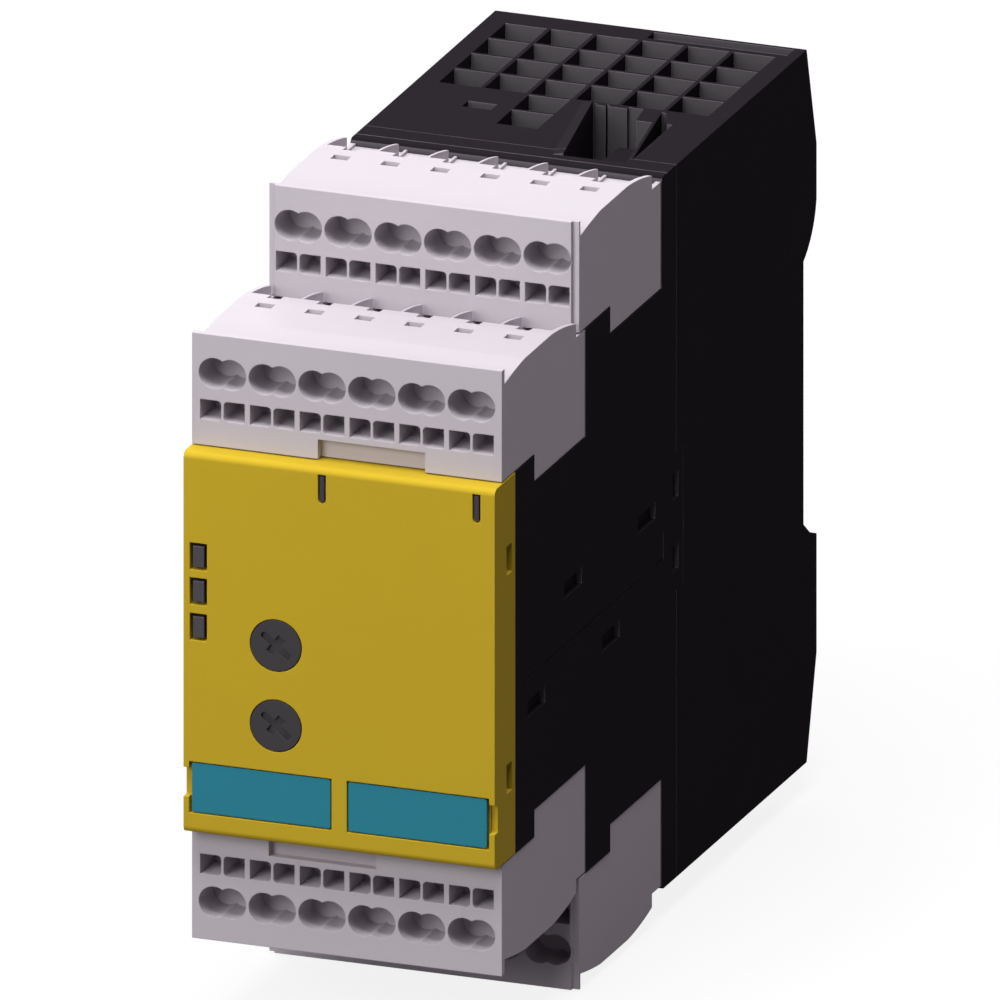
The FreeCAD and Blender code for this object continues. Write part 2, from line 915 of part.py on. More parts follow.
def rail_latch():
    """The sliding catch for the rail's lower edge, with its pull tab below the body."""
    wide = latch_width / 2
    neck = latch_neck_width / 2
    plate = box(-wide, wide, latch_plate_front, latch_plate_back, -body_half - latch_tab, latch_plate_top)
    lip_back = latch_hook_front + latch_lip
    outline = [
        (latch_plate_front, latch_plate_top - latch_hook_root),
        (lip_back, latch_plate_top - latch_hook_root),
        (lip_back, latch_hook_tip - latch_hook_lead),
        (latch_hook_front + latch_hook_top_gap, latch_hook_tip),
        (latch_hook_front, latch_hook_tip),
        (latch_hook_front, recess_bottom - latch_hook_top_gap),
        (latch_plate_front, recess_bottom - latch_hook_top_gap),
    ]
    hook = prism_along_x(outline, -neck, neck)
    window = box(-spring_window_width / 2, spring_window_width / 2, latch_plate_front - 1,
                 latch_plate_back + 1, spring_window_bottom, spring_window_top)
    eye = box(-latch_eye_width / 2, latch_eye_width / 2, latch_plate_front - 1, latch_plate_back + 1,
              -body_half + latch_hook_top_gap - latch_tab / 2, -body_half + latch_eye_top)
    return plate.fuse(hook).cut([window, eye]).removeSplitter()


def latch_spring():
    """The folded wire spring between the latch's window and the fixed block."""
    half = spring_window_width / 2 - spring_side_gap
    bottom = post_top + spring_wire / 2
    top = spring_window_top - spring_wire / 2
    rise = (top - bottom) / spring_bends
    path = []
    side = -1
    for index in range(spring_bends + 1):
        height = bottom + index * rise
        path.append((side * half, height))
        path.append((-side * half, height))
        side = -side
    turns = [path[0]]
    for point in path[1:]:
        if point != turns[-1]:
            turns.append(point)
    outline = strip_outline(turns, spring_wire)
    middle = latch_plate_front + latch_plate / 2
    return prism_along_y(outline, middle - spring_strip / 2, middle + spring_strip / 2)


def front_cover():
    """The front cover: a shallow box with windows, dial holes, label pockets and slots."""
    cover = box(-half_width, half_width, 0, cover_depth, -cover_half, cover_half)
    front_edges = edges_along(cover, FreeCAD.Vector(1, 0, 0), lambda middle: middle.y < 0.01)
    cover = cover.makeFillet(cover_edge_radius, front_edges)
    inner_x = half_width - cover_wall
    inner_z = cover_half - cover_wall
    removed = [box(-inner_x, inner_x, cover_wall, cover_depth + 1, -inner_z, inner_z)]
    for top in led_tops:
        removed.append(box(led_left, led_left + led_width, -1, cover_wall + 1, top - led_height, top))
    for height in dial_heights:
        removed.append(rod_along_y(dial_radius + dial_gap, dial_x, height, -1, cover_wall + 1))
    for side in (-1, 1):
        pocket_in = label_inner_x - label_gap
        pocket_out = label_inner_x + label_width + label_outer_gap
        removed.append(box(*sorted((side * pocket_in, side * pocket_out)), -1, label_recess,
                           label_bottom - label_gap, label_bottom + label_height + label_gap))
        removed.append(box(*sorted((side * (pocket_out - label_notch_overlap), side * (half_width + 1))), -1,
                           label_notch_depth, label_notch_bottom, label_notch_top))
        for half in (-1, 1):
            low, high = sorted((half * cover_slot_bottom, half * cover_slot_top))
            removed.append(box(*sorted((side * (inner_x - 1), side * (half_width + 1))),
                               cover_slot_front, cover_slot_back, low, high))
    for centre in top_slot_centres:
        removed.append(top_slot(centre, 0, -1, cover_wall + 1))
    return cover.cut(removed).removeSplitter()


def top_slot(centre, inset, y0, y1):
    """An upright slot with a round lower end near the cover's top edge, or what fills it with a gap."""
    half = top_slot_width / 2
    low = top_slot_bottom + half
    upright = box(centre - half + inset, centre + half - inset, y0, y1, low, top_slot_top - inset)
    return upright.fuse(rod_along_y(half - inset, centre, low, y0, y1))


def led_column(spread, y0, y1):
    """Three blocks behind each other's windows, larger or smaller than the windows by a spread."""
    blocks = []
    for top in led_tops:
        blocks.append(box(led_left - spread, led_left + led_width + spread, y0, y1,
                          top - led_height - spread, top + spread))
    return blocks


def inner_bezel():
    """The dark plate behind the cover's face, with a rib in each of the two upright slots."""
    inner_x = half_width - cover_wall - bezel_edge_gap
    inner_z = cover_half - cover_wall - bezel_edge_gap
    plate = box(-inner_x, inner_x, bezel_front, bezel_back, -inner_z, inner_z)
    rib_back = bezel_front + bezel_gap
    ribs = [top_slot(centre, top_slot_rib_inset, guide_set_back, rib_back) for centre in top_slot_centres]
    removed = led_column(bezel_gap / 2, bezel_front - 1, bezel_back + 1)
    for height in dial_heights:
        removed.append(rod_along_y(dial_shaft_radius + bezel_gap * 2, dial_x, height,
                                   bezel_front - 1, bezel_back + 1))
    return plate.fuse(ribs).cut(removed).removeSplitter()


def led_window(top):
    """One dark light guide: a flush pane in the cover's window and a stem that reaches towards its lamp."""
    right = led_left + led_width - guide_gap
    low = top - led_height + guide_gap
    high = top - guide_gap
    pane = box(led_left + guide_gap, right, guide_set_back, bezel_front, low, high)
    reach = front_board_front - lamp_height - lamp_gap
    stem = box(-inner_half + guide_side_gap, right, cover_wall, reach,
               low + guide_stem_inset - guide_gap, high - guide_stem_inset + guide_gap)
    return pane.fuse(stem).removeSplitter()


def dial(height):
    """A flush setting dial with a cross recess, on a shaft that turns in its potentiometer."""
    disc = rod_along_y(dial_radius, dial_x, height, 0, dial_thickness)
    shaft = rod_along_y(dial_shaft_radius, dial_x, height,
                        dial_thickness - dial_shaft_overlap, front_board_front - dial_shaft_end_gap)
    long_half = cross_long / 2
    long_bar = box(-long_half + cross_long_width / 2, long_half, -1, cross_depth,
                   -cross_long_width / 2, cross_long_width / 2)
    round_end = rod_along_y(cross_long_width / 2, -long_half + cross_long_width / 2, 0, -1, cross_depth)
    short_bar = box(-cross_short_width / 2, cross_short_width / 2, -1, cross_depth,
                    -cross_short / 2, cross_short / 2)
    cross = long_bar.fuse([round_end, short_bar])
    cross.rotate(FreeCAD.Vector(0, 0, 0), FreeCAD.Vector(0, 1, 0), -cross_angle)
    return disc.fuse(shaft).cut(moved(cross, dial_x, 0, height)).removeSplitter()


def potentiometer(height):
    """The trimmer behind a dial, soldered to the front board."""
    front = front_board_front - pot_depth
    body = rounded_box(dial_x - pot_width / 2, dial_x + pot_width / 2, front, front_board_front,
                       height - pot_height / 2, height + pot_height / 2, pot_edge_radius,
                       FreeCAD.Vector(0, 1, 0))
    bore = rod_along_y(dial_shaft_radius + dial_gap, dial_x, height,
                       front - 1, front_board_front - pot_floor)
    return body.cut(bore)


def label_plate(side):
    """One plain label plate in its pocket."""
    x0, x1 = sorted((side * label_inner_x, side * (label_inner_x + label_width)))
    y0 = label_recess - label_thickness
    return rounded_box(x0, x1, y0, label_recess, label_bottom, label_bottom + label_height,
                       label_corner_radius, FreeCAD.Vector(0, 1, 0))


def crowned(start, end, bulge, x):
    """An arc in a side outline from one (depth, height) point to another, which rises above their chord."""
    run = end[0] - start[0]
    rise = end[1] - start[1]
    chord = math.hypot(run, rise)
    middle_y = (start[0] + end[0]) / 2 + rise * bulge / chord
    middle_z = (start[1] + end[1]) / 2 - run * bulge / chord
    points = [FreeCAD.Vector(x, y, z) for y, z in (start, (middle_y, middle_z), end)]
    return Part.Arc(*points).toShape()


def block_body():
    """A terminal block's outer form, with its roof crowned in front of and behind the flat crest."""
    x = -half_block
    crest_front = (roof_crest_front, roof_crest_height)
    crest_back = (roof_crest_back, roof_crest_height)
    roof_start = (block_groove_depth, block_groove_height)
    roof_end = (roof_end_depth, roof_end_height)
    below = [
        roof_start,
        (block_lip_thickness, block_groove_height),
        (block_lip_thickness, block_lip_height),
        (0, block_lip_height),
        (0, 0),
        (block_head_depth, 0),
        (block_head_depth, -block_foot_drop),
        (block_depth, -block_foot_drop),
        (block_depth, rebate_height),
        (roof_end_depth, rebate_height),
        roof_end,
    ]
    straight = Part.makePolygon([FreeCAD.Vector(x, y, z) for y, z in below])
    crest = Part.makePolygon([FreeCAD.Vector(x, y, z) for y, z in (crest_back, crest_front)])
    back_arc = crowned(roof_end, crest_back, roof_back_bulge, x)
    front_arc = crowned(crest_front, roof_start, roof_front_bulge, x)
    wire = Part.Wire(straight.Edges + [back_arc] + crest.Edges + [front_arc])
    return Part.Face(wire).extrude(FreeCAD.Vector(block_width, 0, 0))


def chamber_outline():
    """Side outline of the space for one pole's clamps, open at the block's back."""
    floor = -block_foot_drop + chamber_wall
    return [
        (chamber_front, chamber_wall),
        (block_head_depth + chamber_wall, chamber_wall),
        (block_head_depth + chamber_wall, floor),
        (block_depth + 1, floor),
        (block_depth + 1, chamber_tail_top),
        (chamber_tail_start, chamber_tail_top),
        (chamber_tail_start, chamber_top),
        (chamber_front, chamber_top),
    ]


def pole_cuts(x, upward):
    """Everything cut out of a terminal block for one pole, its holes towards the device's top."""
    cuts = [prism_along_x(chamber_outline(), x - chamber_half, x + chamber_half)]
    along_y = FreeCAD.Vector(0, 1, 0)
    for side in (-1, 1):
        lobe_x = x + side * lobe_spacing / 2
        cuts.append(rod_along_y(lobe_radius, lobe_x, lobe_height, -1, pocket_depth))
        cuts.append(rod_along_y(wire_hole_radius, lobe_x, lobe_height + upward * wire_hole_lift,
                                pocket_depth - hole_overlap, chamber_front + hole_overlap))
        square_x = x + side * square_offset
        pocket = box(square_x - square_width / 2, square_x + square_width / 2, -1, pocket_depth,
                     square_centre_height - square_height / 2, square_centre_height + square_height / 2)
        inner = edges_along(pocket, along_y, lambda middle: side * (square_x - middle.x) > 0)
        cuts.append(pocket.makeFillet(square_corner_radius, inner))
        slot_z = square_centre_height + upward * driver_slot_lift
        cuts.append(box(square_x - driver_slot_width / 2, square_x + driver_slot_width / 2,
                        pocket_depth - hole_overlap, chamber_front + hole_overlap,
                        slot_z - driver_slot_height / 2, slot_z + driver_slot_height / 2))
    cuts.append(box(x - roof_slot_width / 2, x + roof_slot_width / 2,
                    roof_slot_centre - roof_slot_length / 2, roof_slot_centre + roof_slot_length / 2,
                    chamber_top - hole_overlap, roof_crest_height + 1))
    cuts.append(box(x - ledge_notch_width / 2, x + ledge_notch_width / 2,
                    ledge_notch_start, trough_start + hole_overlap,
                    roof_crest_height - ledge_notch_depth, roof_crest_height + 1))
    return cuts


def roof_troughs():
    """The open troughs behind the roof, between the end walls and the thin ribs at the pole borders."""
    borders = [(left + right) / 2 for left, right in zip(pole_centres, pole_centres[1:])]
    lefts = [-half_block + trough_side_wall] + [border + trough_rib_width / 2 for border in borders]
    rights = [border - trough_rib_width / 2 for border in borders] + [half_block - trough_side_wall]
    troughs = []
    for left, right in zip(lefts, rights):
        troughs.append(box(left, right, trough_start, block_depth + 1, trough_floor, roof_crest_height + 1))
    return troughs


def terminal_block(front_tier, upward):
    """A six-pole terminal block in its own place: front face at depth 0, head from height 0."""
    block = block_body()
    cuts = roof_troughs()
    for x in pole_centres:
        cuts += pole_cuts(x, upward)
    if front_tier:
        cuts.append(box(pry_recess_start, pry_recess_end, -1, pry_recess_depth, -1, pry_recess_height))
    else:
        for side in (-1, 1):
            x0, x1 = sorted((side * (half_block - side_strip_width), side * (half_block + 1)))
            cuts.append(box(x0, x1, -1, side_strip_depth, -1, block_lip_height + 1))
    return block.cut(cuts).removeSplitter()


def contact_bars():
    """One current bar for each pole: under the roof, down behind the springs, and a fork for the pin."""
    top = chamber_top - bar_thickness / 2 - bar_roof_gap
    pin_z = -pin_drop
    path = [
        (chamber_front + bar_lead, top),
        (bar_post_depth, top),
        (bar_post_depth, pin_z),
        (fork_start + fork_root / 2, pin_z),
    ]
    inner = pin_size / 2 + pin_clearance
    outer = inner + fork_leaf
    bars = []
    for x in pole_centres:
        bar = prism_along_x(strip_outline(path, bar_thickness), x - bar_half, x + bar_half)
        fork = box(x - bar_half, x + bar_half, fork_start, fork_end, pin_z - outer, pin_z + outer)
        gap = box(x - bar_half - 1, x + bar_half + 1, fork_start + fork_root, fork_end + 1,
                  pin_z - inner, pin_z + inner)
        bars.append(bar.fuse(fork.cut(gap)).removeSplitter())
    return bars


def clamp_springs():
    """Two bent springs for each pole, which press a wire up against the current bar."""
    half = spring_thickness / 2
    leg = bar_post_depth - bar_thickness / 2 - half
    bar_under = chamber_top - bar_thickness - bar_roof_gap
    path = [(leg, bar_under - spring_leg_drop), (leg, spring_bend_height)]
    path += [(leg - forward, spring_foot_height) for forward in spring_foot]
    path += [(leg - forward, height) for forward, height in spring_bow]
    path.append((leg - spring_tip, bar_under - spring_tip_drop))
    outline = strip_outline(path, spring_thickness)
    springs = []
    for x in pole_centres:
        for side in (-1, 1):
            inner = side * spring_web / 2
            outer = side * (bar_half - spring_web / 2)
            x0, x1 = sorted((x + inner, x + outer))
            springs.append(prism_along_x(outline, x0, x1))
    return springs


def pins_for(base_height, face_depth, wall_back):
    """The six bent plug pins of an upper header: forward into the block, and down to the board."""
    half = pin_size / 2
    height = pin_height(base_height)
    bend = wall_back + pin_bend_depth
    start = face_depth + block_depth - pin_reach
    pins = []
    for x in pole_centres:
        level = box(x - half, x + half, start, bend, height - half, height + half)
        drop = box(x - half, x + half, bend - pin_size, bend,
                   terminal_board_height - pin_tail, height + half)
        pins.append(level.fuse(drop).removeSplitter())
    return pins


def header_for(base_height, wall_back, pins):
    """The insulating bar of an upper header, moulded around its pins."""
    side = inner_half - board_gap
    height = pin_height(base_height)
    body = box(-side, side, wall_back + board_gap, wall_back + board_gap + header_depth,
               height - header_height / 2, height + header_height / 2)
    return body.cut(pins)


def hole_for(pins):
    """Round clearance holes through an upper terminal board for the drops of some pins."""
    holes = []
    for pin in pins:
        centre_x = (pin.BoundBox.XMin + pin.BoundBox.XMax) / 2
        centre_y = pin.BoundBox.YMax - pin_size / 2
        holes.append(Part.makeCylinder(board_hole_radius, board_thickness + 2,
                                       FreeCAD.Vector(centre_x, centre_y, terminal_board_height - 1)))
    return holes


def terminal_board(pins):
    """The level board that a pair of headers is soldered to, for the upper half."""
    side = inner_half - board_gap
    board = box(-side, side, front_wall_back + board_gap, terminal_board_end,
                terminal_board_height, terminal_board_top)
    return board.cut(hole_for(pins))


def edge_strip():
    """The row of link pins between the main board and the upper terminal board."""
    wall = -board_inner
    top = terminal_board_height - joint_gap
    return box(wall, wall + strip_size, edge_strip_front, edge_strip_front + edge_strip_length,
               top - strip_size, top)


def main_board():
    """The long board at the left, wide in the rear housing, which carries the relays."""
    front = front_board_front + board_thickness + 2 * board_gap
    back = rail_seat_depth - side_wall - board_gap
    upper = [
        (front, side_board_half),
        (rear_board_start, side_board_half),
        (rear_board_start, rear_board_half),
        (back, rear_board_half),
    ]
    return prism_along_x(mirrored(upper), -board_outer, -board_inner)


def control_board():
    """The long narrow board at the right, which carries the logic."""
    front = front_board_front + board_thickness + 2 * board_gap
    back = rail_seat_depth - side_wall - board_gap
    return box(board_inner, board_outer, front, back, -side_board_half, side_board_half)


def front_board():
    """The upright board behind the front panel."""
    side = inner_half - board_gap
    return box(-side, side, front_board_front, front_board_front + board_thickness,
               -front_board_half, front_board_half)


def pin_strip(side):
    """The right-angle strip that joins the front board to a long board."""
    back_face = front_board_front + board_thickness
    x0, x1 = sorted((side * board_inner, side * (board_inner - strip_size)))
    return box(x0, x1, back_face, back_face + strip_size + 2 * board_gap, -strip_half, strip_half)


def status_leds():
    """The three lamps on the front board behind the light guides."""
    lamps = []
    for top in led_tops:
        middle = top - led_height / 2
        lamps.append(box(lamp_centre_x - lamp_width / 2, lamp_centre_x + lamp_width / 2,
                         front_board_front - lamp_height, front_board_front,
                         middle - lamp_width / 2, middle + lamp_width / 2))
    return lamps


def relay(index):
    """One sealed relay with guided contacts, on the main board."""
    top = relay_top - index * relay_spacing
    base = -board_inner
    case = box(base, base + relay_rise, relay_start, relay_start + relay_length, top - relay_width, top)
    upper_edges = [edge for edge in case.Edges if edge.CenterOfMass.x > base + relay_edge_radius]
    return case.makeFillet(relay_edge_radius, upper_edges)


def transformer_core():
    """The laminated core: two yokes and three legs around two windows."""
    base = -board_inner + mount_gap
    front = transformer_centre_depth - transformer_length / 2
    back = transformer_centre_depth + transformer_length / 2
    low = transformer_centre_height - transformer_stack / 2
    high = transformer_centre_height + transformer_stack / 2
    core = box(base, base + transformer_rise, front, back, low, high)
    windows = []
    for side in (-1, 1):
        near = transformer_centre_depth + side * transformer_leg / 2
        far = transformer_centre_depth + side * (transformer_length / 2 - transformer_yoke)
        y0, y1 = sorted((near, far))
        windows.append(box(base + transformer_yoke, base + transformer_rise - transformer_yoke,
                           y0, y1, low - 1, high + 1))
    return core.cut(windows)


def transformer_coil():
    """The winding on its former around the middle leg."""
    base = -board_inner + mount_gap + transformer_yoke + coil_gap
    top = -board_inner + mount_gap + transformer_rise - transformer_yoke - coil_gap
    leg = transformer_leg / 2 + coil_gap
    stack = transformer_stack / 2 + coil_gap
    window = transformer_length / 2 - transformer_yoke - coil_gap
    outer_stack = transformer_stack / 2 + coil_build

    def around_leg(x0, x1, half_depth, half_height):
        return box(x0, x1, transformer_centre_depth - half_depth, transformer_centre_depth + half_depth,
                   transformer_centre_height - half_height, transformer_centre_height + half_height)

    winding = around_leg(base + coil_flange / 2, top - coil_flange / 2,
                         window - coil_inset, outer_stack - coil_inset)
    flanges = [around_leg(x0, x0 + coil_flange, window, outer_stack) for x0 in (base, top - coil_flange)]
    bore = around_leg(base - 1, top + 1, leg, stack)
    return winding.fuse(flanges).cut(bore).removeSplitter()


def capacitor(height):
    """One smoothing capacitor that stands on the main board."""
    can = rod_along_x(capacitor_radius, capacitor_depth, height,
                      -board_inner, -board_inner + capacitor_length)
    groove = Part.makeTorus(capacitor_radius + capacitor_groove_radius / 2, capacitor_groove_radius,
                            FreeCAD.Vector(-board_inner + capacitor_groove_rise, capacitor_depth, height),
                            FreeCAD.Vector(1, 0, 0))
    return can.cut(groove)


def bridge_rectifier():
    """The four-legged rectifier on the main board."""
    base = -board_inner
    half = rectifier_thickness / 2
    return rounded_box(base, base + rectifier_rise, rectifier_front, rectifier_front + rectifier_length,
                       -half, half, rectifier_edge_radius, FreeCAD.Vector(1, 0, 0))


def varistor():
    """The round surge arrester on the main board."""
    centre = -board_inner + varistor_radius + varistor_lift
    return rod_along_y(varistor_radius, centre, varistor_height,
                       varistor_front, varistor_front + varistor_thickness)


def fuse_link():
    """The round soldered fuse on the main board."""
    return rod_along_x(fuse_radius, fuse_depth, fuse_height, -board_inner, -board_inner + fuse_rise)


def voltage_regulator():
    """The regulator with its metal tab, on the control board."""
    face = board_inner
    back = regulator_front + regulator_width
    body = box(face - regulator_rise, face, regulator_front, back, regulator_bottom, regulator_top)
    tab = box(face - regulator_rise, face - regulator_rise + regulator_tab_thickness, regulator_front, back,
              regulator_top, regulator_tab_top)
    hole = rod_along_x(regulator_hole_radius, regulator_front + regulator_width / 2, regulator_hole_height,
                       face - regulator_rise - 1, face)
    return body.fuse(tab).cut(hole).removeSplitter()


def controller_chip(depth, height):
    """One of the two controllers that watch each other, with its legs."""
    face = board_inner
    half = chip_size / 2

    def on_board(near, far, half_depth, half_height):
        return box(face - far, face - near, depth - half_depth, depth + half_depth,
                   height - half_height, height + half_height)

    body = on_board(chip_lift, chip_rise, half, half)
    legs = on_board(0, chip_leg_rise, half + chip_leg_reach, half - chip_corner)
    side_legs = on_board(0, chip_leg_rise, half - chip_corner, half + chip_leg_reach)
    return body.fuse([legs, side_legs]).removeSplitter()


def optocouplers():
    """The input couplers in a row on the control board."""
    face = board_inner
    parts = []
    for index in range(coupler_count):
        low = coupler_lowest + index * coupler_pitch
        parts.append(box(face - coupler_rise, face, coupler_front, coupler_front + coupler_length,
                         low, low + coupler_height))
    return parts


for tier, setback, base, wall in (
    ("front", block_setback, block_base_height, front_wall_back),
    ("rear", rear_block_setback, rear_base_height, rear_wall_back),
):
    springs = [moved(spring, 0, setback, base) for spring in clamp_springs()]
    bars = [moved(bar, 0, setback, base) for bar in contact_bars()]
    pins = pins_for(base, setback, wall)
    header = header_for(base, wall, pins)
    for half, upward, place in (("upper", 1, lambda shape: shape), ("lower", -1, turned_over)):
        name = half + "_" + tier
        block = moved(terminal_block(tier == "front", upward), 0, setback, base)
        save("terminal_block_" + name, [place(block)])
        save("clamp_springs_" + name, [place(spring) for spring in springs])
        save("contact_bars_" + name, [place(bar) for bar in bars])
        save("plug_pins_" + name, [place(pin) for pin in pins])
        save("plug_header_" + name, [place(header)])

all_pins = pins_for(block_base_height, block_setback, front_wall_back)
all_pins += pins_for(rear_base_height, rear_block_setback, rear_wall_back)
save("terminal_board_upper", [terminal_board(all_pins)])
save("terminal_board_lower", [turned_over(terminal_board(all_pins))])
save("edge_strip_upper", [edge_strip()])
save("edge_strip_lower", [edge_strip().mirror(FreeCAD.Vector(0, 0, 0), FreeCAD.Vector(0, 0, 1))])

save("front_housing", [front_housing()])
save("rear_housing", [rear_housing()])
save("rail_latch", [rail_latch()])
save("latch_spring", [latch_spring()])
save("front_cover", [front_cover()])
save("inner_bezel", [inner_bezel()])
for number, top in enumerate(led_tops, 1):
    save("led_window_" + str(number), [led_window(top)])
for place, height in zip(("upper", "lower"), dial_heights):
    save("dial_" + place, [dial(height)])
    save("potentiometer_" + place, [potentiometer(height)])
for place, side in (("left", -1), ("right", 1)):
    save("label_plate_" + place, [label_plate(side)])
    save("pin_strip_" + place, [pin_strip(side)])

save("front_board", [front_board()])
save("main_board", [main_board()])
save("control_board", [control_board()])
save("status_leds", status_leds())
for index in range(relay_count):
    save("relay_" + str(index + 1), [relay(index)])
save("transformer_core", [transformer_core()])
save("transformer_coil", [transformer_coil()])
for number, height in enumerate(capacitor_heights, 1):
    save("smoothing_capacitor_" + str(number), [capacitor(height)])
save("bridge_rectifier", [bridge_rectifier()])
save("varistor", [varistor()])
save("fuse_link", [fuse_link()])
save("voltage_regulator", [voltage_regulator()])
for number, (depth, height) in enumerate(chip_places, 1):
    save("controller_chip_" + str(number), [controller_chip(depth, height)])
save("optocouplers", optocouplers())
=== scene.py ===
import math
import bpy
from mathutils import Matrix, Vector


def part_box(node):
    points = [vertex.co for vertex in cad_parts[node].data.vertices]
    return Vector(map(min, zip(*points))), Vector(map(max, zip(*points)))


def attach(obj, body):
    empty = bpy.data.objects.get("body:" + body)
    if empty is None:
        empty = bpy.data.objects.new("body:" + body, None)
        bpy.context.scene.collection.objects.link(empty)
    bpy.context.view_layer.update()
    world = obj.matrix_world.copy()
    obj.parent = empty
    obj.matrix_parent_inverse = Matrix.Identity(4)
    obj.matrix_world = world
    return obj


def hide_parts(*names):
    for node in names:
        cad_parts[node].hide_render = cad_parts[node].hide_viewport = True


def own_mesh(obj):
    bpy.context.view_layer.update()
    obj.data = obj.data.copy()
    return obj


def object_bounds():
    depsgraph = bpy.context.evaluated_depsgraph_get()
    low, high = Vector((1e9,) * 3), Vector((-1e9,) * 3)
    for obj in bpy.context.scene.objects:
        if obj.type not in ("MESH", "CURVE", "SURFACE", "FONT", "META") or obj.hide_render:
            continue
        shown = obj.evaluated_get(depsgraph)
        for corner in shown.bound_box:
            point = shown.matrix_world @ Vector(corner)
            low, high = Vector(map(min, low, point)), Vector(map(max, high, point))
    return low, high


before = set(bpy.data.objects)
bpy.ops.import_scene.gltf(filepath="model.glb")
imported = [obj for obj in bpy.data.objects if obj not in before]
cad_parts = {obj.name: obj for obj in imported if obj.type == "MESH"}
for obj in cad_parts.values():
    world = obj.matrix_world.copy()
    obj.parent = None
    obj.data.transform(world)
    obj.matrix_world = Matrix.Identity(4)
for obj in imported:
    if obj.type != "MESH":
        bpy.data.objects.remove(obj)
cad_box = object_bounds()

bl_info = {
    "name": "Safety relay",
    "version": (1, 0, 0),
    "blender": (4, 5, 0),
    "location": "3D View > Sidebar > Relay",
    "description": "Finishes for a rail-mounted safety relay, and a plain studio around it",
    "category": "Object",
}

MM = 0.001
BLOCKS = ("upper_front", "upper_rear", "lower_front", "lower_rear")

# Shares of the fine scale at which slower changes of tone run
FLOW_SCALE = 0.025
CLOUD_SCALE = 0.08
DRAWN_STRETCH = 0.06

# Edges: how fine the soft edge is sampled, and how fast its mask rises
EDGE_SAMPLES = 4
EDGE_GAIN = 4.0
METAL_EDGE_SHARE = 0.4

# Shares of one sheet, one turn of tape and one ring that a groove, a lap and a track take
GROOVE_SHARE = 0.18
LAP_SHARE = 0.07
TRACK_SHARE = 0.42
TRACK_RINGS = 5.0
CELL_SHARE = 0.25

# Heights that bump gives to sheets, tape and tracks
SHEET_HEIGHT = 0.03 * MM
TAPE_HEIGHT = 0.05 * MM
TRACK_HEIGHT = 0.035 * MM

# The latch spring
SPRING_WIRE = 0.3 * MM
SPRING_BENDS = 5
BEND_STEPS = 8
WIRE_SIDES = 4

# The lips behind the housing's joints, and the height at which the cover's catches stand
WALL = 1.8 * MM
CAP_WALL = 2.5 * MM
LIP_GAP = 0.05 * MM
LIP_THICKNESS = 0.2 * MM
LIP_REACH = 1.2 * MM
CATCH_RANGE = (13.5 * MM, 17.8 * MM)

# Lamps: name, setting that holds the power, side, and the direction that they stand in
LAMP_DISTANCE = 0.9
LAMPS = (
    ("Top", "top", 0.6, (0.0, -0.25, 0.97)),
    ("Front", "front", 0.5, (-0.30, -0.86, 0.42)),
    ("Back", "back", 0.8, (-0.70, 0.70, 0.12)),
)


def colour(name, description, default):
    """A colour that the user may change, in linear values."""
    return bpy.props.FloatVectorProperty(
        name=name, description=description, subtype="COLOR", size=3, min=0.0, max=1.0,
        default=default,
    )


def length(name, description, default):
    """A length that the user may change, in metres."""
    return bpy.props.FloatProperty(
        name=name, description=description, subtype="DISTANCE", unit="LENGTH", min=0.0,
        precision=6, default=default,
    )


def share(name, description, default):
    """A share between nothing and all."""
    return bpy.props.FloatProperty(
        name=name, description=description, subtype="FACTOR", min=0.0, max=1.0, default=default,
    )


def power(name, description, default):
    """The power of a lamp, in watts."""
    return bpy.props.FloatProperty(
        name=name, description=description, unit="POWER", min=0.0, default=default,
    )


class RelayColours(bpy.types.PropertyGroup):
    """Colours of the pieces."""

    housing: colour("Housing", "Both halves of the housing", (0.0140, 0.0112, 0.0145))
    # Painted light: a lighter colour for the housing's walls that face forward, standing in for the
    # light that falls on them
    housing_painted_front_light: colour(
        "Housing painted front light", "Painted light on the housing's walls that face forward", (0.078, 0.072, 0.080),
    )
    latch: colour("Rail latch", "The sliding catch on the back", (0.020, 0.018, 0.021))
    cover: colour("Cover", "The front cover", (0.510, 0.358, 0.024))
    bezel: colour("Bezel", "The dark plate behind the cover", (0.052, 0.049, 0.056))
    window: colour("Lamp window", "The smoked light guides", (0.041, 0.037, 0.043))
    dial: colour("Dial", "The two setting dials", (0.045, 0.041, 0.046))
    label: colour("Label plate", "The two plain label plates", (0.022, 0.200, 0.272))
    terminal: colour("Terminal block", "The four terminal blocks", (0.500, 0.466, 0.503))
    header: colour("Header", "Plug headers and pin strips", (0.030, 0.030, 0.032))
    board: colour("Board", "Solder resist on the boards", (0.010, 0.085, 0.030))
    track: colour("Track", "Copper under the solder resist", (0.030, 0.200, 0.060))
    relay: colour("Relay case", "The sealed relays", (0.560, 0.560, 0.520))
    trimmer: colour("Trimmer", "Trimmers and the surge arrester", (0.012, 0.085, 0.330))
    component: colour("Component", "Chips, rectifier and fuse", (0.012, 0.012, 0.013))
    sleeve: colour("Sleeve", "Sleeves of the capacitors", (0.010, 0.012, 0.045))
    tape: colour("Winding tape", "Tape round the transformer's winding", (0.640, 0.400, 0.040))
    lamp: colour("Lamp", "The clear lamps on the front board", (0.750, 0.780, 0.760))
    steel: colour("Spring steel", "Clamp springs and the latch spring", (0.560, 0.560, 0.570))
    tin: colour("Tinned copper", "Contact bars and plug pins", (0.640, 0.610, 0.570))
    core: colour("Core steel", "Edges of the transformer's sheets", (0.180, 0.180, 0.190))


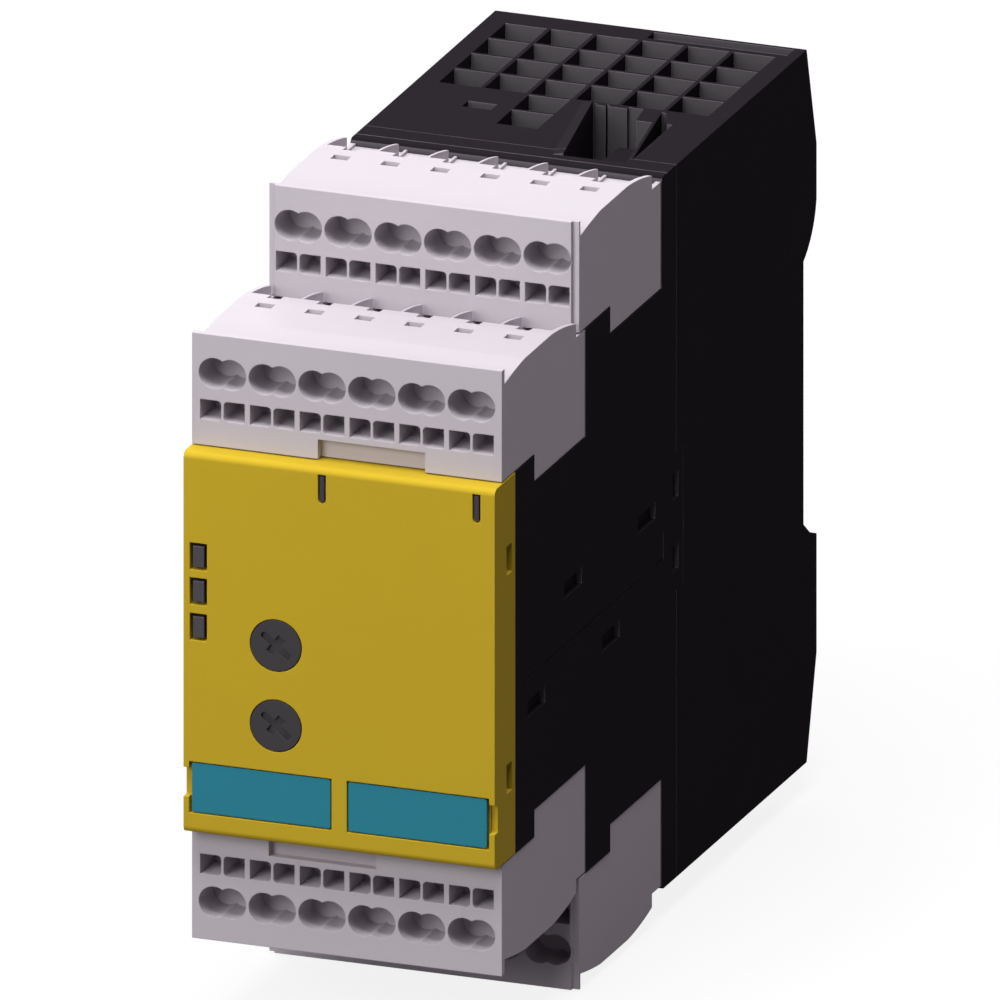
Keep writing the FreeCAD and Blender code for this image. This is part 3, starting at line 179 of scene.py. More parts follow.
class RelayFinish(bpy.types.PropertyGroup):
    """How the surfaces feel."""

    grain: length("Grain", "Size of the moulded grain", 0.35 * MM)
    grain_depth: length("Grain depth", "Depth of the moulded grain", 0.012 * MM)
    edge_radius: length("Edge radius", "Radius that a moulded edge seems to have", 0.18 * MM)
    streak: length("Streak", "Width of the drawing marks on metal", 0.12 * MM)
    streak_depth: length("Streak depth", "Depth of the drawing marks on metal", 0.004 * MM)
    sheet: length("Core sheet", "Thickness of the transformer's sheets", 0.5 * MM)
    tape_width: length("Tape width", "Width of each turn of the winding's tape", 2.4 * MM)
    track_pitch: length("Track pitch", "Distance between the boards' tracks", 1.27 * MM)


class RelayStudio(bpy.types.PropertyGroup):
    """Camera, lamps and floor."""

    azimuth: bpy.props.FloatProperty(
        name="Azimuth", description="How far the camera stands to the right",
        subtype="ANGLE", unit="ROTATION", default=math.asin(math.sqrt(1 / 8)),
    )
    elevation: bpy.props.FloatProperty(
        name="Elevation", description="How far the camera looks down",
        subtype="ANGLE", unit="ROTATION", default=math.asin(1 / 3),
    )
    view_width: length("View width", "Width of the parallel view", 135.22 * MM)
    view_back: length(
        "View centre back", "How far the view's centre lies in front of the rail seat", 56.57 * MM,
    )
    view_up: length(
        "View centre up", "How far the view's centre lies above the rail's middle", 0.5 * MM,
    )
    distance: length("Camera distance", "From the view's centre to the camera", 0.8)
    floor_gap: length("Floor gap", "Gap between the lowest piece and the floor", 0.4 * MM)
    floor_size: length("Floor size", "Side of the floor", 6.0)
    top: power("Top lamp", "Light from above", 10.4)
    front: power("Front lamp", "Light from the front, a little from the left and above", 4.5)
    back: power("Back lamp", "Light from behind and the left", 9.0)
    sky: share("Sky", "Even light from all round", 0.15)
    sky_tint: colour("Sky tint", "Colour of the even light", (1.0, 0.82, 1.0))
    floor_white: share("Floor white", "Share of the floor's white that needs no lamp", 0.86)
    floor_tone: share("Floor tone", "How pale the floor is under the lamps", 0.12)


# Node trees

def add_node(tree, kind, inputs=None, **settings):
    """A node with its settings, its constant inputs and its links from other sockets."""
    made = tree.nodes.new(kind)
    for name, value in settings.items():
        setattr(made, name, value)
    for name, value in (inputs or {}).items():
        if isinstance(value, bpy.types.NodeSocket):
            tree.links.new(value, made.inputs[name])
        else:
            made.inputs[name].default_value = value
    return made


def math_node(tree, operation, first, second=0.0, clamp=False):
    """The result of one sum on one or two values."""
    made = add_node(
        tree, "ShaderNodeMath", {0: first, 1: second}, operation=operation, use_clamp=clamp,
    )
    return made.outputs[0]


def new_group(name, inputs, outputs):
    """An empty group with its sockets, its input node and its output node."""
    group = bpy.data.node_groups.new(name, "ShaderNodeTree")
    for label, kind, value in inputs:
        socket = group.interface.new_socket(name=label, in_out="INPUT", socket_type=kind)
        socket.default_value = value
    for label, kind in outputs:
        group.interface.new_socket(name=label, in_out="OUTPUT", socket_type=kind)
    return group, group.nodes.new("NodeGroupInput"), group.nodes.new("NodeGroupOutput")


def place(tree, name, inputs):
    """A shared group in a material, built when it is first wanted."""
    group = bpy.data.node_groups.get(name) or GROUPS[name](name)
    return add_node(tree, "ShaderNodeGroup", inputs, node_tree=group)


def moulded_surface(name):
    """Fine moulded grain, with slow changes of tone and gloss from the flow in the mould."""
    group, given, result = new_group(
        name,
        [("Grain", "NodeSocketFloat", 0.35 * MM), ("Roughness", "NodeSocketFloat", 0.5),
         ("Spread", "NodeSocketFloat", 0.08)],
        [("Height", "NodeSocketFloat"), ("Roughness", "NodeSocketFloat"),
         ("Tone", "NodeSocketFloat")],
    )
    place_in_piece = add_node(group, "ShaderNodeTexCoord").outputs["Object"]
    fine_scale = math_node(group, "DIVIDE", 1.0, given.outputs["Grain"])
    grain = add_node(
        group, "ShaderNodeTexNoise",
        {"Vector": place_in_piece, "Scale": fine_scale, "Detail": 2.0, "Roughness": 0.6},
    ).outputs[0]
    slow_scale = math_node(group, "MULTIPLY", fine_scale, FLOW_SCALE)
    flow = add_node(
        group, "ShaderNodeTexNoise",
        {"Vector": place_in_piece, "Scale": slow_scale, "Detail": 3.0, "Roughness": 0.55,
         "Distortion": 0.6},
    ).outputs[0]
    swing = math_node(group, "SUBTRACT", flow, 0.5)
    change = math_node(group, "MULTIPLY", swing, given.outputs["Spread"])
    speck = math_node(
        group, "MULTIPLY", math_node(group, "SUBTRACT", grain, 0.5), given.outputs["Spread"],
    )
    changed = math_node(group, "ADD", given.outputs["Roughness"], change)
    rough = math_node(group, "ADD", changed, speck, clamp=True)
    group.links.new(grain, result.inputs["Height"])
    group.links.new(rough, result.inputs["Roughness"])
    group.links.new(flow, result.inputs["Tone"])
    return group


def drawn_streaks(name):
    """Fine parallel marks that rolling and drawing leave on metal strip."""
    group, given, result = new_group(
        name,
        [("Width", "NodeSocketFloat", 0.12 * MM), ("Roughness", "NodeSocketFloat", 0.3),
         ("Spread", "NodeSocketFloat", 0.15)],
        [("Height", "NodeSocketFloat"), ("Roughness", "NodeSocketFloat"),
         ("Tone", "NodeSocketFloat")],
    )
    place_in_piece = add_node(group, "ShaderNodeTexCoord").outputs["Object"]
    drawn = add_node(
        group, "ShaderNodeMapping",
        {"Vector": place_in_piece, "Scale": (1.0, DRAWN_STRETCH, DRAWN_STRETCH)},
        vector_type="POINT",
    ).outputs[0]
    fine_scale = math_node(group, "DIVIDE", 1.0, given.outputs["Width"])
    marks = add_node(
        group, "ShaderNodeTexNoise",
        {"Vector": drawn, "Scale": fine_scale, "Detail": 3.0, "Roughness": 0.7},
    ).outputs[0]
    slow_scale = math_node(group, "MULTIPLY", fine_scale, CLOUD_SCALE)
    cloud = add_node(
        group, "ShaderNodeTexNoise", {"Vector": place_in_piece, "Scale": slow_scale, "Detail": 2.0},
    ).outputs[0]
    change = math_node(
        group, "MULTIPLY", math_node(group, "SUBTRACT", marks, 0.5), given.outputs["Spread"],
    )
    rough = math_node(group, "ADD", given.outputs["Roughness"], change, clamp=True)
    group.links.new(marks, result.inputs["Height"])
    group.links.new(rough, result.inputs["Roughness"])
    group.links.new(cloud, result.inputs["Tone"])
    return group


def soft_edges(name):
    """The small radius of a moulded or cut edge, as a normal and as a mask that carries the painted
    edge highlight.
    """
    group, given, result = new_group(
        name,
        [("Radius", "NodeSocketFloat", 0.18 * MM)],
        [("Normal", "NodeSocketVector"), ("Edge", "NodeSocketFloat")],
    )
    rounded = add_node(
        group, "ShaderNodeBevel", {"Radius": given.outputs["Radius"]}, samples=EDGE_SAMPLES,
    ).outputs[0]
    flat = add_node(group, "ShaderNodeNewGeometry").outputs["Normal"]
    facing = add_node(
        group, "ShaderNodeVectorMath", {0: rounded, 1: flat}, operation="DOT_PRODUCT",
    ).outputs["Value"]
    turned = math_node(group, "SUBTRACT", 1.0, facing)
    group.links.new(rounded, result.inputs["Normal"])
    group.links.new(
        math_node(group, "MULTIPLY", turned, EDGE_GAIN, clamp=True), result.inputs["Edge"],
    )
    return group


def shaded_colour(name):
    """A colour that drifts with a tone and gets lighter along the edges, as a painted highlight
    with some wear.
    """
    group, given, result = new_group(
        name,
        [("Colour", "NodeSocketColor", (0.5, 0.5, 0.5, 1.0)), ("Tone", "NodeSocketFloat", 0.5),
         ("Drift", "NodeSocketFloat", 0.1), ("Edge", "NodeSocketFloat", 0.0),
         ("Lift", "NodeSocketFloat", 0.2)],
        [("Colour", "NodeSocketColor")],
    )
    swing = math_node(group, "SUBTRACT", given.outputs["Tone"], 0.5)
    drift = math_node(group, "MULTIPLY", swing, given.outputs["Drift"])
    # The lift paints a highlight along rounded edges, with some wear; for sheets, laps and tracks
    # it gives their own tone
    lift = math_node(group, "MULTIPLY", given.outputs["Edge"], given.outputs["Lift"])
    value = math_node(group, "ADD", math_node(group, "ADD", drift, lift), 1.0)
    shade = add_node(
        group, "ShaderNodeHueSaturation", {"Color": given.outputs["Colour"], "Value": value},
    ).outputs["Color"]
    group.links.new(shade, result.inputs["Colour"])
    return group


def facing_front(name):
    """A mask of the walls that face forward, on which a lighter colour is painted as light."""
    group, given, result = new_group(
        name, [("From", "NodeSocketFloat", 0.75)], [("Mask", "NodeSocketFloat")],
    )
    facing = add_node(group, "ShaderNodeTexCoord").outputs["Normal"]
    forward = add_node(
        group, "ShaderNodeVectorMath", {0: facing, 1: (0.0, -1.0, 0.0)}, operation="DOT_PRODUCT",
    ).outputs["Value"]
    mask = math_node(group, "GREATER_THAN", forward, given.outputs["From"])
    group.links.new(mask, result.inputs["Mask"])
    return group


GROUPS = {
    "Facing front": facing_front,
    "Moulded surface": moulded_surface,
    "Drawn streaks": drawn_streaks,
    "Soft edges": soft_edges,
    "Shaded colour": shaded_colour,
}


# Materials

def rgba(value):
    """A colour with full cover."""
    return (*value, 1.0)


def new_material(name, specular=0.5, metallic=0.0):
    """A material with its own shader, and its node tree."""
    material = bpy.data.materials.new(name)
    material.use_nodes = True
    tree = material.node_tree
    shader = tree.nodes["Principled BSDF"]
    shader.inputs["Specular IOR Level"].default_value = specular
    shader.inputs["Metallic"].default_value = metallic
    return material, tree, shader


def connect(tree, shader, shade, surface, bump):
    """Join the three things that change over a surface to its shader."""
    tree.links.new(shade.outputs["Colour"], shader.inputs["Base Color"])
    tree.links.new(surface.outputs["Roughness"], shader.inputs["Roughness"])
    tree.links.new(bump.outputs["Normal"], shader.inputs["Normal"])


def plastic(name, tint, finish, roughness=0.5, spread=0.1, drift=0.12, lift=0.25, specular=0.4,
            depth=1.0, painted_front_light=None):
    """Moulded plastic with grain, flow and edges lighter by painted highlight and some wear, and
    perhaps painted light on the walls that face forward.
    """
    material, tree, shader = new_material(name, specular=specular)
    tint = rgba(tint)
    if painted_front_light is not None:
        # Painted light: the walls that face forward get a lighter colour, standing in for the light
        # that falls on them
        mask = place(tree, "Facing front", {}).outputs["Mask"]
        tint = add_node(
            tree, "ShaderNodeMix", {0: mask, 6: tint, 7: rgba(painted_front_light)}, data_type="RGBA",
        ).outputs[2]
    surface = place(
        tree, "Moulded surface", {"Grain": finish.grain, "Roughness": roughness, "Spread": spread},
    )
    edges = place(tree, "Soft edges", {"Radius": finish.edge_radius})
    shade = place(tree, "Shaded colour", {
        "Colour": tint, "Tone": surface.outputs["Tone"], "Drift": drift,
        "Edge": edges.outputs["Edge"], "Lift": lift,
    })
    bump = add_node(tree, "ShaderNodeBump", {
        "Strength": 1.0, "Distance": finish.grain_depth * depth,
        "Height": surface.outputs["Height"], "Normal": edges.outputs["Normal"],
    })
    connect(tree, shader, shade, surface, bump)
    return material


def metal(name, tint, finish, roughness=0.3, spread=0.15, drift=0.25):
    """Rolled metal strip with drawing marks."""
    material, tree, shader = new_material(name, metallic=1.0)
    surface = place(
        tree, "Drawn streaks", {"Width": finish.streak, "Roughness": roughness, "Spread": spread},
    )
    edges = place(tree, "Soft edges", {"Radius": finish.edge_radius * METAL_EDGE_SHARE})
    # The lighter edges here are a painted highlight, with some wear
    shade = place(tree, "Shaded colour", {
        "Colour": rgba(tint), "Tone": surface.outputs["Tone"], "Drift": drift,
        "Edge": edges.outputs["Edge"], "Lift": 0.3,
    })
    bump = add_node(tree, "ShaderNodeBump", {
        "Strength": 1.0, "Distance": finish.streak_depth,
        "Height": surface.outputs["Height"], "Normal": edges.outputs["Normal"],
    })
    connect(tree, shader, shade, surface, bump)
    return material


def bands(tree, axis, width):
    """Even bands across one axis of a piece, as a value from 0 to 1."""
    place_in_piece = add_node(tree, "ShaderNodeTexCoord").outputs["Object"]
    across = add_node(tree, "ShaderNodeSeparateXYZ", {0: place_in_piece}).outputs[axis]
    turns = math_node(tree, "DIVIDE", across, width)
    return math_node(tree, "FRACT", turns)


def laminated_steel(name, colours, finish):
    """Stacked sheets whose cut edges show as fine lines under varnish."""
    material, tree, shader = new_material(name, metallic=0.9)
    sheet = bands(tree, "Z", finish.sheet)
    groove = math_node(tree, "LESS_THAN", sheet, GROOVE_SHARE)
    surface = place(
        tree, "Moulded surface", {"Grain": finish.grain, "Roughness": 0.42, "Spread": 0.25},
    )
    shade = place(tree, "Shaded colour", {
        "Colour": rgba(colours.core), "Tone": surface.outputs["Tone"], "Drift": 0.5,
        "Edge": groove, "Lift": -0.55,
    })
    depth = math_node(tree, "SUBTRACT", 1.0, groove)
    bump = add_node(
        tree, "ShaderNodeBump", {"Strength": 0.8, "Distance": SHEET_HEIGHT, "Height": depth},
    )
    connect(tree, shader, shade, surface, bump)
    return material


def wound_tape(name, colours, finish):
    """Glossy tape wound round and round, with a low step at each turn."""
    material, tree, shader = new_material(name, specular=0.5)
    turn = bands(tree, "X", finish.tape_width)
    lap = math_node(tree, "LESS_THAN", turn, LAP_SHARE)
    surface = place(
        tree, "Moulded surface", {"Grain": finish.grain, "Roughness": 0.28, "Spread": 0.2},
    )
    shade = place(tree, "Shaded colour", {
        "Colour": rgba(colours.tape), "Tone": surface.outputs["Tone"], "Drift": 0.35,
        "Edge": lap, "Lift": -0.3,
    })
    bump = add_node(
        tree, "ShaderNodeBump", {"Strength": 0.6, "Distance": TAPE_HEIGHT, "Height": turn},
    )
    connect(tree, shader, shade, surface, bump)
    return material


def printed_board(name, colours, finish):
    """Green solder resist over raised copper tracks."""
    material, tree, shader = new_material(name, specular=0.5)
    place_in_piece = add_node(tree, "ShaderNodeTexCoord").outputs["Object"]
    cells = add_node(
        tree, "ShaderNodeTexVoronoi",
        {"Vector": place_in_piece, "Scale": CELL_SHARE / finish.track_pitch, "Randomness": 0.85},
        feature="F1", distance="CHEBYCHEV",
    ).outputs["Distance"]
    rings = math_node(tree, "FRACT", math_node(tree, "MULTIPLY", cells, TRACK_RINGS))
    track = math_node(tree, "LESS_THAN", rings, TRACK_SHARE)
    surface = place(
        tree, "Moulded surface", {"Grain": finish.grain, "Roughness": 0.32, "Spread": 0.12},
    )
    tint = add_node(
        tree, "ShaderNodeMix", {0: track, 6: rgba(colours.board), 7: rgba(colours.track)},
        data_type="RGBA",
    ).outputs[2]
    shade = place(tree, "Shaded colour", {
        "Colour": tint, "Tone": surface.outputs["Tone"], "Drift": 0.2, "Edge": track, "Lift": 0.1,
    })
    bump = add_node(
        tree, "ShaderNodeBump", {"Strength": 0.7, "Distance": TRACK_HEIGHT, "Height": track},
    )
    connect(tree, shader, shade, surface, bump)
    return material


def dress(material, *nodes):
    """Give pieces their material through their objects' own slots."""
    for name in nodes:
        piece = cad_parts[name]
        for slot in piece.material_slots:
            slot.link = "OBJECT"
            slot.material = material


def in_all_blocks(stem):
    """The names of one kind of piece in the four terminal blocks."""
    return [stem + "_" + block for block in BLOCKS]


# Operators

class RELAY_OT_housings(bpy.types.Operator):
    """Give both halves of the housing and the rail latch their black moulded finish"""

    bl_idname = "relay.housings"
    bl_label = "Housings"

    def execute(self, context):
        colours = context.scene.relay_colours
        finish = context.scene.relay_finish
        # The black carries painted light on its forward walls, and a painted highlight with some
        # wear along its edges
        black = plastic(
            "Housing black", colours.housing, finish, roughness=0.62, spread=0.12, drift=0.25,
            lift=1.6, specular=0.002, painted_front_light=colours.housing_painted_front_light,
        )
        catch = plastic(
            "Latch black", colours.latch, finish, roughness=0.48, lift=0.9, specular=0.08,
        )
        dress(black, "rear_housing", "front_housing")
        dress(catch, "rail_latch")
        return {"FINISHED"}


class RELAY_OT_cover(bpy.types.Operator):
    """Give the front cover, the plate behind it and the label plates their finishes"""

    bl_idname = "relay.cover"
    bl_label = "Front cover"

    def execute(self, context):
        colours = context.scene.relay_colours
        finish = context.scene.relay_finish
        yellow = plastic(
            "Cover yellow", colours.cover, finish, roughness=0.46, drift=0.06, lift=0.2,
            specular=0.006,
        )
        dark = plastic(
            "Bezel black", colours.bezel, finish, roughness=0.6, lift=0.5, specular=0.05,
        )
        teal = plastic(
            "Label teal", colours.label, finish, roughness=0.4, drift=0.08, lift=0.25,
            specular=0.12, depth=0.5,
        )
        dress(yellow, "front_cover")
        dress(dark, "inner_bezel")
        dress(teal, "label_plate_left", "label_plate_right")
        return {"FINISHED"}


class RELAY_OT_dials(bpy.types.Operator):
    """Give the two setting dials and their trimmers their finishes"""

    bl_idname = "relay.dials"
    bl_label = "Dials"

    def execute(self, context):
        colours = context.scene.relay_colours
        finish = context.scene.relay_finish
        grey = plastic(
            "Dial grey", colours.dial, finish, roughness=0.42, lift=0.6, specular=0.1, depth=0.7,
        )
        blue = plastic("Trimmer blue", colours.trimmer, finish, roughness=0.3, depth=0.5)
        dress(grey, "dial_upper", "dial_lower")
        dress(blue, "potentiometer_upper", "potentiometer_lower", "varistor")
        return {"FINISHED"}


class RELAY_OT_lamps(bpy.types.Operator):
    """Give the three lamp windows and the lamps behind them their finishes"""

    bl_idname = "relay.lamps"
    bl_label = "Lamps"

    def execute(self, context):
        colours = context.scene.relay_colours
        finish = context.scene.relay_finish
        smoked = plastic(
            "Window smoke", colours.window, finish, roughness=0.22, lift=0.6, specular=0.35,
            depth=0.3,
        )
        clear = plastic(
            "Lamp clear", colours.lamp, finish, roughness=0.15, specular=0.5, depth=0.3,
        )
        dress(smoked, "led_window_1", "led_window_2", "led_window_3")
        dress(clear, "status_leds")
        return {"FINISHED"}


class RELAY_OT_terminals(bpy.types.Operator):
    """Give the terminal blocks, with their springs, bars, pins and headers, their finishes"""

    bl_idname = "relay.terminals"
    bl_label = "Terminal blocks"

    def execute(self, context):
        colours = context.scene.relay_colours
        finish = context.scene.relay_finish
        grey = plastic(
            "Terminal grey", colours.terminal, finish, roughness=0.5, drift=0.07, lift=0.06,
            specular=0.03,
        )
        steel = metal("Spring steel", colours.steel, finish, roughness=0.3)
        tinned = metal("Tinned copper", colours.tin, finish, roughness=0.36)
        moulding = plastic("Header black", colours.header, finish, roughness=0.5, lift=0.6)
        dress(grey, *in_all_blocks("terminal_block"))
        dress(steel, *in_all_blocks("clamp_springs"))
        dress(tinned, *in_all_blocks("contact_bars"), *in_all_blocks("plug_pins"))
        dress(moulding, *in_all_blocks("plug_header"), "edge_strip_upper", "edge_strip_lower",
              "pin_strip_left", "pin_strip_right")
        return {"FINISHED"}


class RELAY_OT_boards(bpy.types.Operator):
    """Give the circuit boards their green resist and tracks"""

    bl_idname = "relay.boards"
    bl_label = "Circuit boards"

    def execute(self, context):
        scene = context.scene
        resist = printed_board("Board green", scene.relay_colours, scene.relay_finish)
        dress(resist, "front_board", "main_board", "control_board",
              "terminal_board_upper", "terminal_board_lower")
        return {"FINISHED"}


class RELAY_OT_components(bpy.types.Operator):
    """Give the relays, the transformer and the other large parts on the boards their finishes"""

    bl_idname = "relay.components"
    bl_label = "Board parts"

    def execute(self, context):
        colours = context.scene.relay_colours
        finish = context.scene.relay_finish
        case = plastic(
            "Relay case", colours.relay, finish, roughness=0.3, specular=0.45, depth=0.5,
        )
        core = laminated_steel("Core steel", colours, finish)
        tape = wound_tape("Winding tape", colours, finish)
        sleeve = plastic(
            "Capacitor sleeve", colours.sleeve, finish, roughness=0.25, specular=0.5, depth=0.4,
        )
        black = plastic("Component black", colours.component, finish, roughness=0.55, lift=0.8)
        dress(case, "relay_1", "relay_2", "relay_3")
        dress(core, "transformer_core")
        dress(tape, "transformer_coil")
        dress(sleeve, "smoothing_capacitor_1", "smoothing_capacitor_2")
        dress(black, "bridge_rectifier", "fuse_link", "voltage_regulator",
              "controller_chip_1", "controller_chip_2", "optocouplers")
        return {"FINISHED"}


class RELAY_OT_latch_spring(bpy.types.Operator):
    """Bend the latch spring from round wire, in the place of its plain solid"""

    bl_idname = "relay.latch_spring"
    bl_label = "Latch spring"

    def execute(self, context):
        low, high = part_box("latch_spring")
        middle = (low.y + high.y) / 2
        full_height = high.z - low.z
        reach = (high.x - low.x) / 2 - SPRING_WIRE
        bottom = low.z + SPRING_WIRE
        rise = (full_height - 2 * SPRING_WIRE) / SPRING_BENDS
        line = []
        for turn in range(SPRING_BENDS + 1):
            height = bottom + turn * rise
            side = 1 if turn % 2 else -1
            first, last = turn == 0, turn == SPRING_BENDS
            line += bend_points(side, reach, middle, height, rise, first, last)
        piece = wire_piece("latch_spring_wire", line, SPRING_WIRE)
        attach(piece, "base")
        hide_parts("latch_spring")
        piece.data.materials.append(bpy.data.materials["Spring steel"])
        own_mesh(piece)
        return {"FINISHED"}


def bend_points(side, reach, middle, height, rise, first, last):
    """The level run at one height, and the half round that leads up to the next one."""
    radius = rise / 2
    start = -side * (reach - radius) if not first else -side * reach
    points = [Vector((start, middle, height))]
    if last:
        return points + [Vector((side * reach, middle, height))]
    for step in range(BEND_STEPS + 1):
        angle = -math.pi / 2 + math.pi * step / BEND_STEPS
        points.append(Vector((
            side * (reach - radius + radius * math.cos(angle)),
            middle,
            height + radius + radius * math.sin(angle),
        )))
    return points


def wire_piece(name, line, radius):
    """Round wire along a line of points, as a mesh."""
    curve = bpy.data.curves.new(name, "CURVE")
    curve.dimensions = "3D"
    curve.bevel_depth = radius
    curve.bevel_resolution = WIRE_SIDES
    curve.use_fill_caps = True
    spline = curve.splines.new("POLY")
    spline.points.add(len(line) - 1)
    for point, place_of in zip(spline.points, line):
        point.co = (*place_of, 1.0)
    holder = bpy.data.objects.new(name, curve)
    mesh = bpy.data.meshes.new_from_object(holder)
    bpy.data.objects.remove(holder)
    bpy.data.curves.remove(curve)
    for face in mesh.polygons:
        face.use_smooth = True
    piece = bpy.data.objects.new(name, mesh)
    bpy.context.scene.collection.objects.link(piece)
    return piece


class RELAY_OT_joint_lips(bpy.types.Operator):
    """Cover the joints of the housing from inside with thin lips, so that no light falls through"""

    bl_idname = "relay.joint_lips"
    bl_label = "Joint lips"

    def execute(self, context):
        cover_low, cover_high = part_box("front_cover")
        rear_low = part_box("rear_housing")[0]
        tongue_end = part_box("front_housing")[1].y
        middle = (cover_low.z + cover_high.z) / 2
        outer = cover_high.x - WALL - LIP_GAP
        cover_half = (cover_high.z - cover_low.z) / 2 - WALL
        rear_half = middle - rear_low.z - CAP_WALL - LIP_GAP
        catch_low, catch_high = CATCH_RANGE
        runs = [(rear_low.y, tongue_end, -rear_half, rear_half)]
        stretches = (
            (-cover_half, -catch_high), (-catch_low, catch_low), (catch_high, cover_half),
        )
        for low, high in stretches:
            runs.append((cover_high.y, cover_high.y, low, high))
        boxes = []
        for front, back, low, high in runs:
            for side in (-1, 1):
                x0, x1 = sorted((side * (outer - LIP_THICKNESS), side * outer))
                boxes.append((
                    (x0, front - LIP_REACH, middle + low), (x1, back + LIP_REACH, middle + high),
                ))
        piece = boxes_piece("joint_lips", boxes)
        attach(piece, "base")
        piece.data.materials.append(bpy.data.materials["Housing black"])
        return {"FINISHED"}


BOX_FACES = (
    (0, 1, 3, 2), (4, 6, 7, 5), (0, 4, 5, 1), (2, 3, 7, 6), (0, 2, 6, 4), (1, 5, 7, 3),
)


def boxes_piece(name, boxes):
    """Plain boxes between two corners each, as one mesh."""
    points = []
    faces = []
    for low, high in boxes:
        start = len(points)
        points += [
            (x, y, z)
            for x in (low[0], high[0]) for y in (low[1], high[1]) for z in (low[2], high[2])
        ]
        for corners in BOX_FACES:
            faces.append([start + corner for corner in corners])
    mesh = bpy.data.meshes.new(name)
    mesh.from_pydata(points, [], faces)
    piece = bpy.data.objects.new(name, mesh)
    bpy.context.scene.collection.objects.link(piece)
    return piece


class RELAY_OT_studio(bpy.types.Operator):
    """Put the relay on a pale floor under soft light, and set the camera"""

    bl_idname = "relay.studio"
    bl_label = "Studio"

    def execute(self, context):
        studio = context.scene.relay_studio
        set_view(context.scene)
        lay_floor(context.scene, studio)
        light_sky(context.scene, studio)
        centre = Vector((0.0, -studio.view_back, 0.0))
        for name, setting, size, direction in LAMPS:
            soft_lamp(
                context.scene, name, getattr(studio, setting), size, centre, Vector(direction),
            )
        set_camera(context.scene, studio)
        return {"FINISHED"}


def set_view(scene):
    """Plain colours, with no film look."""
    scene.view_settings.view_transform = "Standard"


def seen_ray(tree):
    """1 for rays that show a thing to the camera, directly, in gloss or through glass."""
    path = add_node(tree, "ShaderNodeLightPath")
    seen = math_node(tree, "MAXIMUM", path.outputs["Is Camera Ray"], path.outputs["Is Glossy Ray"])
    return math_node(tree, "MAXIMUM", seen, path.outputs["Is Transmission Ray"])


def lay_floor(scene, studio):
    """A plain pale floor that keeps the relay's shadow."""
    half = studio.floor_size / 2
    height = cad_box[0][2] - studio.floor_gap
    mesh = bpy.data.meshes.new("Floor")
    corners = [
        (x * half, y * half, height) for x, y in ((-1, -1), (1, -1), (1, 1), (-1, 1))
    ]
    mesh.from_pydata(corners, [], [(0, 1, 2, 3)])
    floor = bpy.data.objects.new("Floor", mesh)
    scene.collection.objects.link(floor)
    material = bpy.data.materials.new("Floor white")
    material.use_nodes = True
    tree = material.node_tree
    tree.nodes.clear()
    tone = studio.floor_tone
    matt = add_node(tree, "ShaderNodeBsdfDiffuse", {"Color": (tone, tone, tone, 1.0)})
    glow = math_node(tree, "MULTIPLY", seen_ray(tree), studio.floor_white)
    white = add_node(tree, "ShaderNodeEmission", {"Color": (1.0, 1.0, 1.0, 1.0), "Strength": glow})
    both = add_node(tree, "ShaderNodeAddShader", {0: matt.outputs[0], 1: white.outputs[0]})
    add_node(tree, "ShaderNodeOutputMaterial", {"Surface": both.outputs[0]})
    mesh.materials.append(material)


def light_sky(scene, studio):
    """Even light from all round, which the camera sees as white."""
    world = bpy.data.worlds.new("Sky")
    world.use_nodes = True
    tree = world.node_tree
    tree.nodes.clear()
    dim = add_node(
        tree, "ShaderNodeBackground", {"Color": rgba(studio.sky_tint), "Strength": studio.sky},
    )
    white = add_node(tree, "ShaderNodeBackground", {"Color": (1.0, 1.0, 1.0, 1.0), "Strength": 1.0})
    both = add_node(
        tree, "ShaderNodeMixShader", {0: seen_ray(tree), 1: dim.outputs[0], 2: white.outputs[0]},
    )
    add_node(tree, "ShaderNodeOutputWorld", {"Surface": both.outputs[0]})
    scene.world = world


def soft_lamp(scene, name, watts, size, target, direction):
    """A square soft lamp that faces the relay from a direction."""
    lamp = bpy.data.lights.new(name, "AREA")
    lamp.shape = "SQUARE"
    lamp.size = size
    lamp.energy = watts
    holder = bpy.data.objects.new(name, lamp)
    holder.location = target + direction.normalized() * LAMP_DISTANCE
    holder.rotation_euler = (-direction).to_track_quat("-Z", "Y").to_euler()
    scene.collection.objects.link(holder)


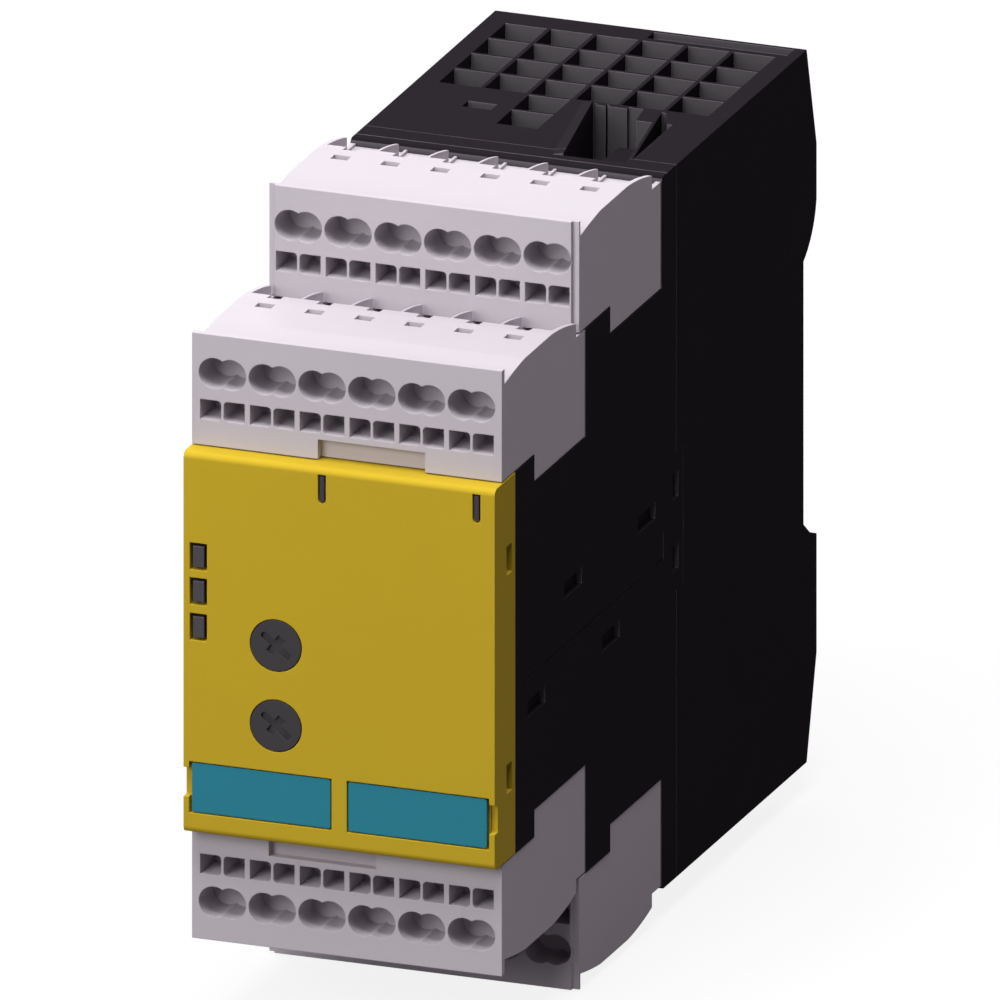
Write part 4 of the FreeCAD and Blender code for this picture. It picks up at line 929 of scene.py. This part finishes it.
def set_camera(scene, studio):
    """A parallel view from the front, a little from the right and from above."""
    flat = math.cos(studio.elevation)
    towards = Vector((
        math.sin(studio.azimuth) * flat,
        -math.cos(studio.azimuth) * flat,
        math.sin(studio.elevation),
    ))
    camera = bpy.data.cameras.new("Camera")
    camera.type = "ORTHO"
    camera.ortho_scale = studio.view_width
    holder = bpy.data.objects.new("Camera", camera)
    centre = Vector((0.0, -studio.view_back, studio.view_up))
    holder.location = centre + towards * studio.distance
    holder.rotation_euler = (-towards).to_track_quat("-Z", "Y").to_euler()
    scene.collection.objects.link(holder)
    scene.camera = holder


OPERATORS = (
    RELAY_OT_housings,
    RELAY_OT_cover,
    RELAY_OT_dials,
    RELAY_OT_lamps,
    RELAY_OT_terminals,
    RELAY_OT_boards,
    RELAY_OT_components,
    RELAY_OT_latch_spring,
    RELAY_OT_joint_lips,
    RELAY_OT_studio,
)
SETTINGS = (
    ("relay_colours", RelayColours),
    ("relay_finish", RelayFinish),
    ("relay_studio", RelayStudio),
)


class RELAY_PT_sidebar(bpy.types.Panel):
    """The relay's pieces and settings"""

    bl_idname = "RELAY_PT_sidebar"
    bl_label = "Safety relay"
    bl_space_type = "VIEW_3D"
    bl_region_type = "UI"
    bl_category = "Relay"

    def draw(self, context):
        for operator in OPERATORS:
            self.layout.operator(operator.bl_idname)
        for name, group in SETTINGS:
            box = self.layout.box()
            box.label(text=group.__doc__)
            for entry in group.__annotations__:
                box.prop(getattr(context.scene, name), entry)


def register():
    """Make the settings, the operators and the panel known."""
    for name, group in SETTINGS:
        bpy.utils.register_class(group)
        setattr(bpy.types.Scene, name, bpy.props.PointerProperty(type=group))
    for operator in OPERATORS:
        bpy.utils.register_class(operator)
    bpy.utils.register_class(RELAY_PT_sidebar)


def unregister():
    """Take them away again."""
    bpy.utils.unregister_class(RELAY_PT_sidebar)
    for operator in reversed(OPERATORS):
        bpy.utils.unregister_class(operator)
    for name, group in reversed(SETTINGS):
        delattr(bpy.types.Scene, name)
        bpy.utils.unregister_class(group)


def main():
    """Run every operator in order."""
    register()
    for operator in OPERATORS:
        family, call = operator.bl_idname.split(".")
        getattr(getattr(bpy.ops, family), call)()


if __name__ == "__main__":
    main()
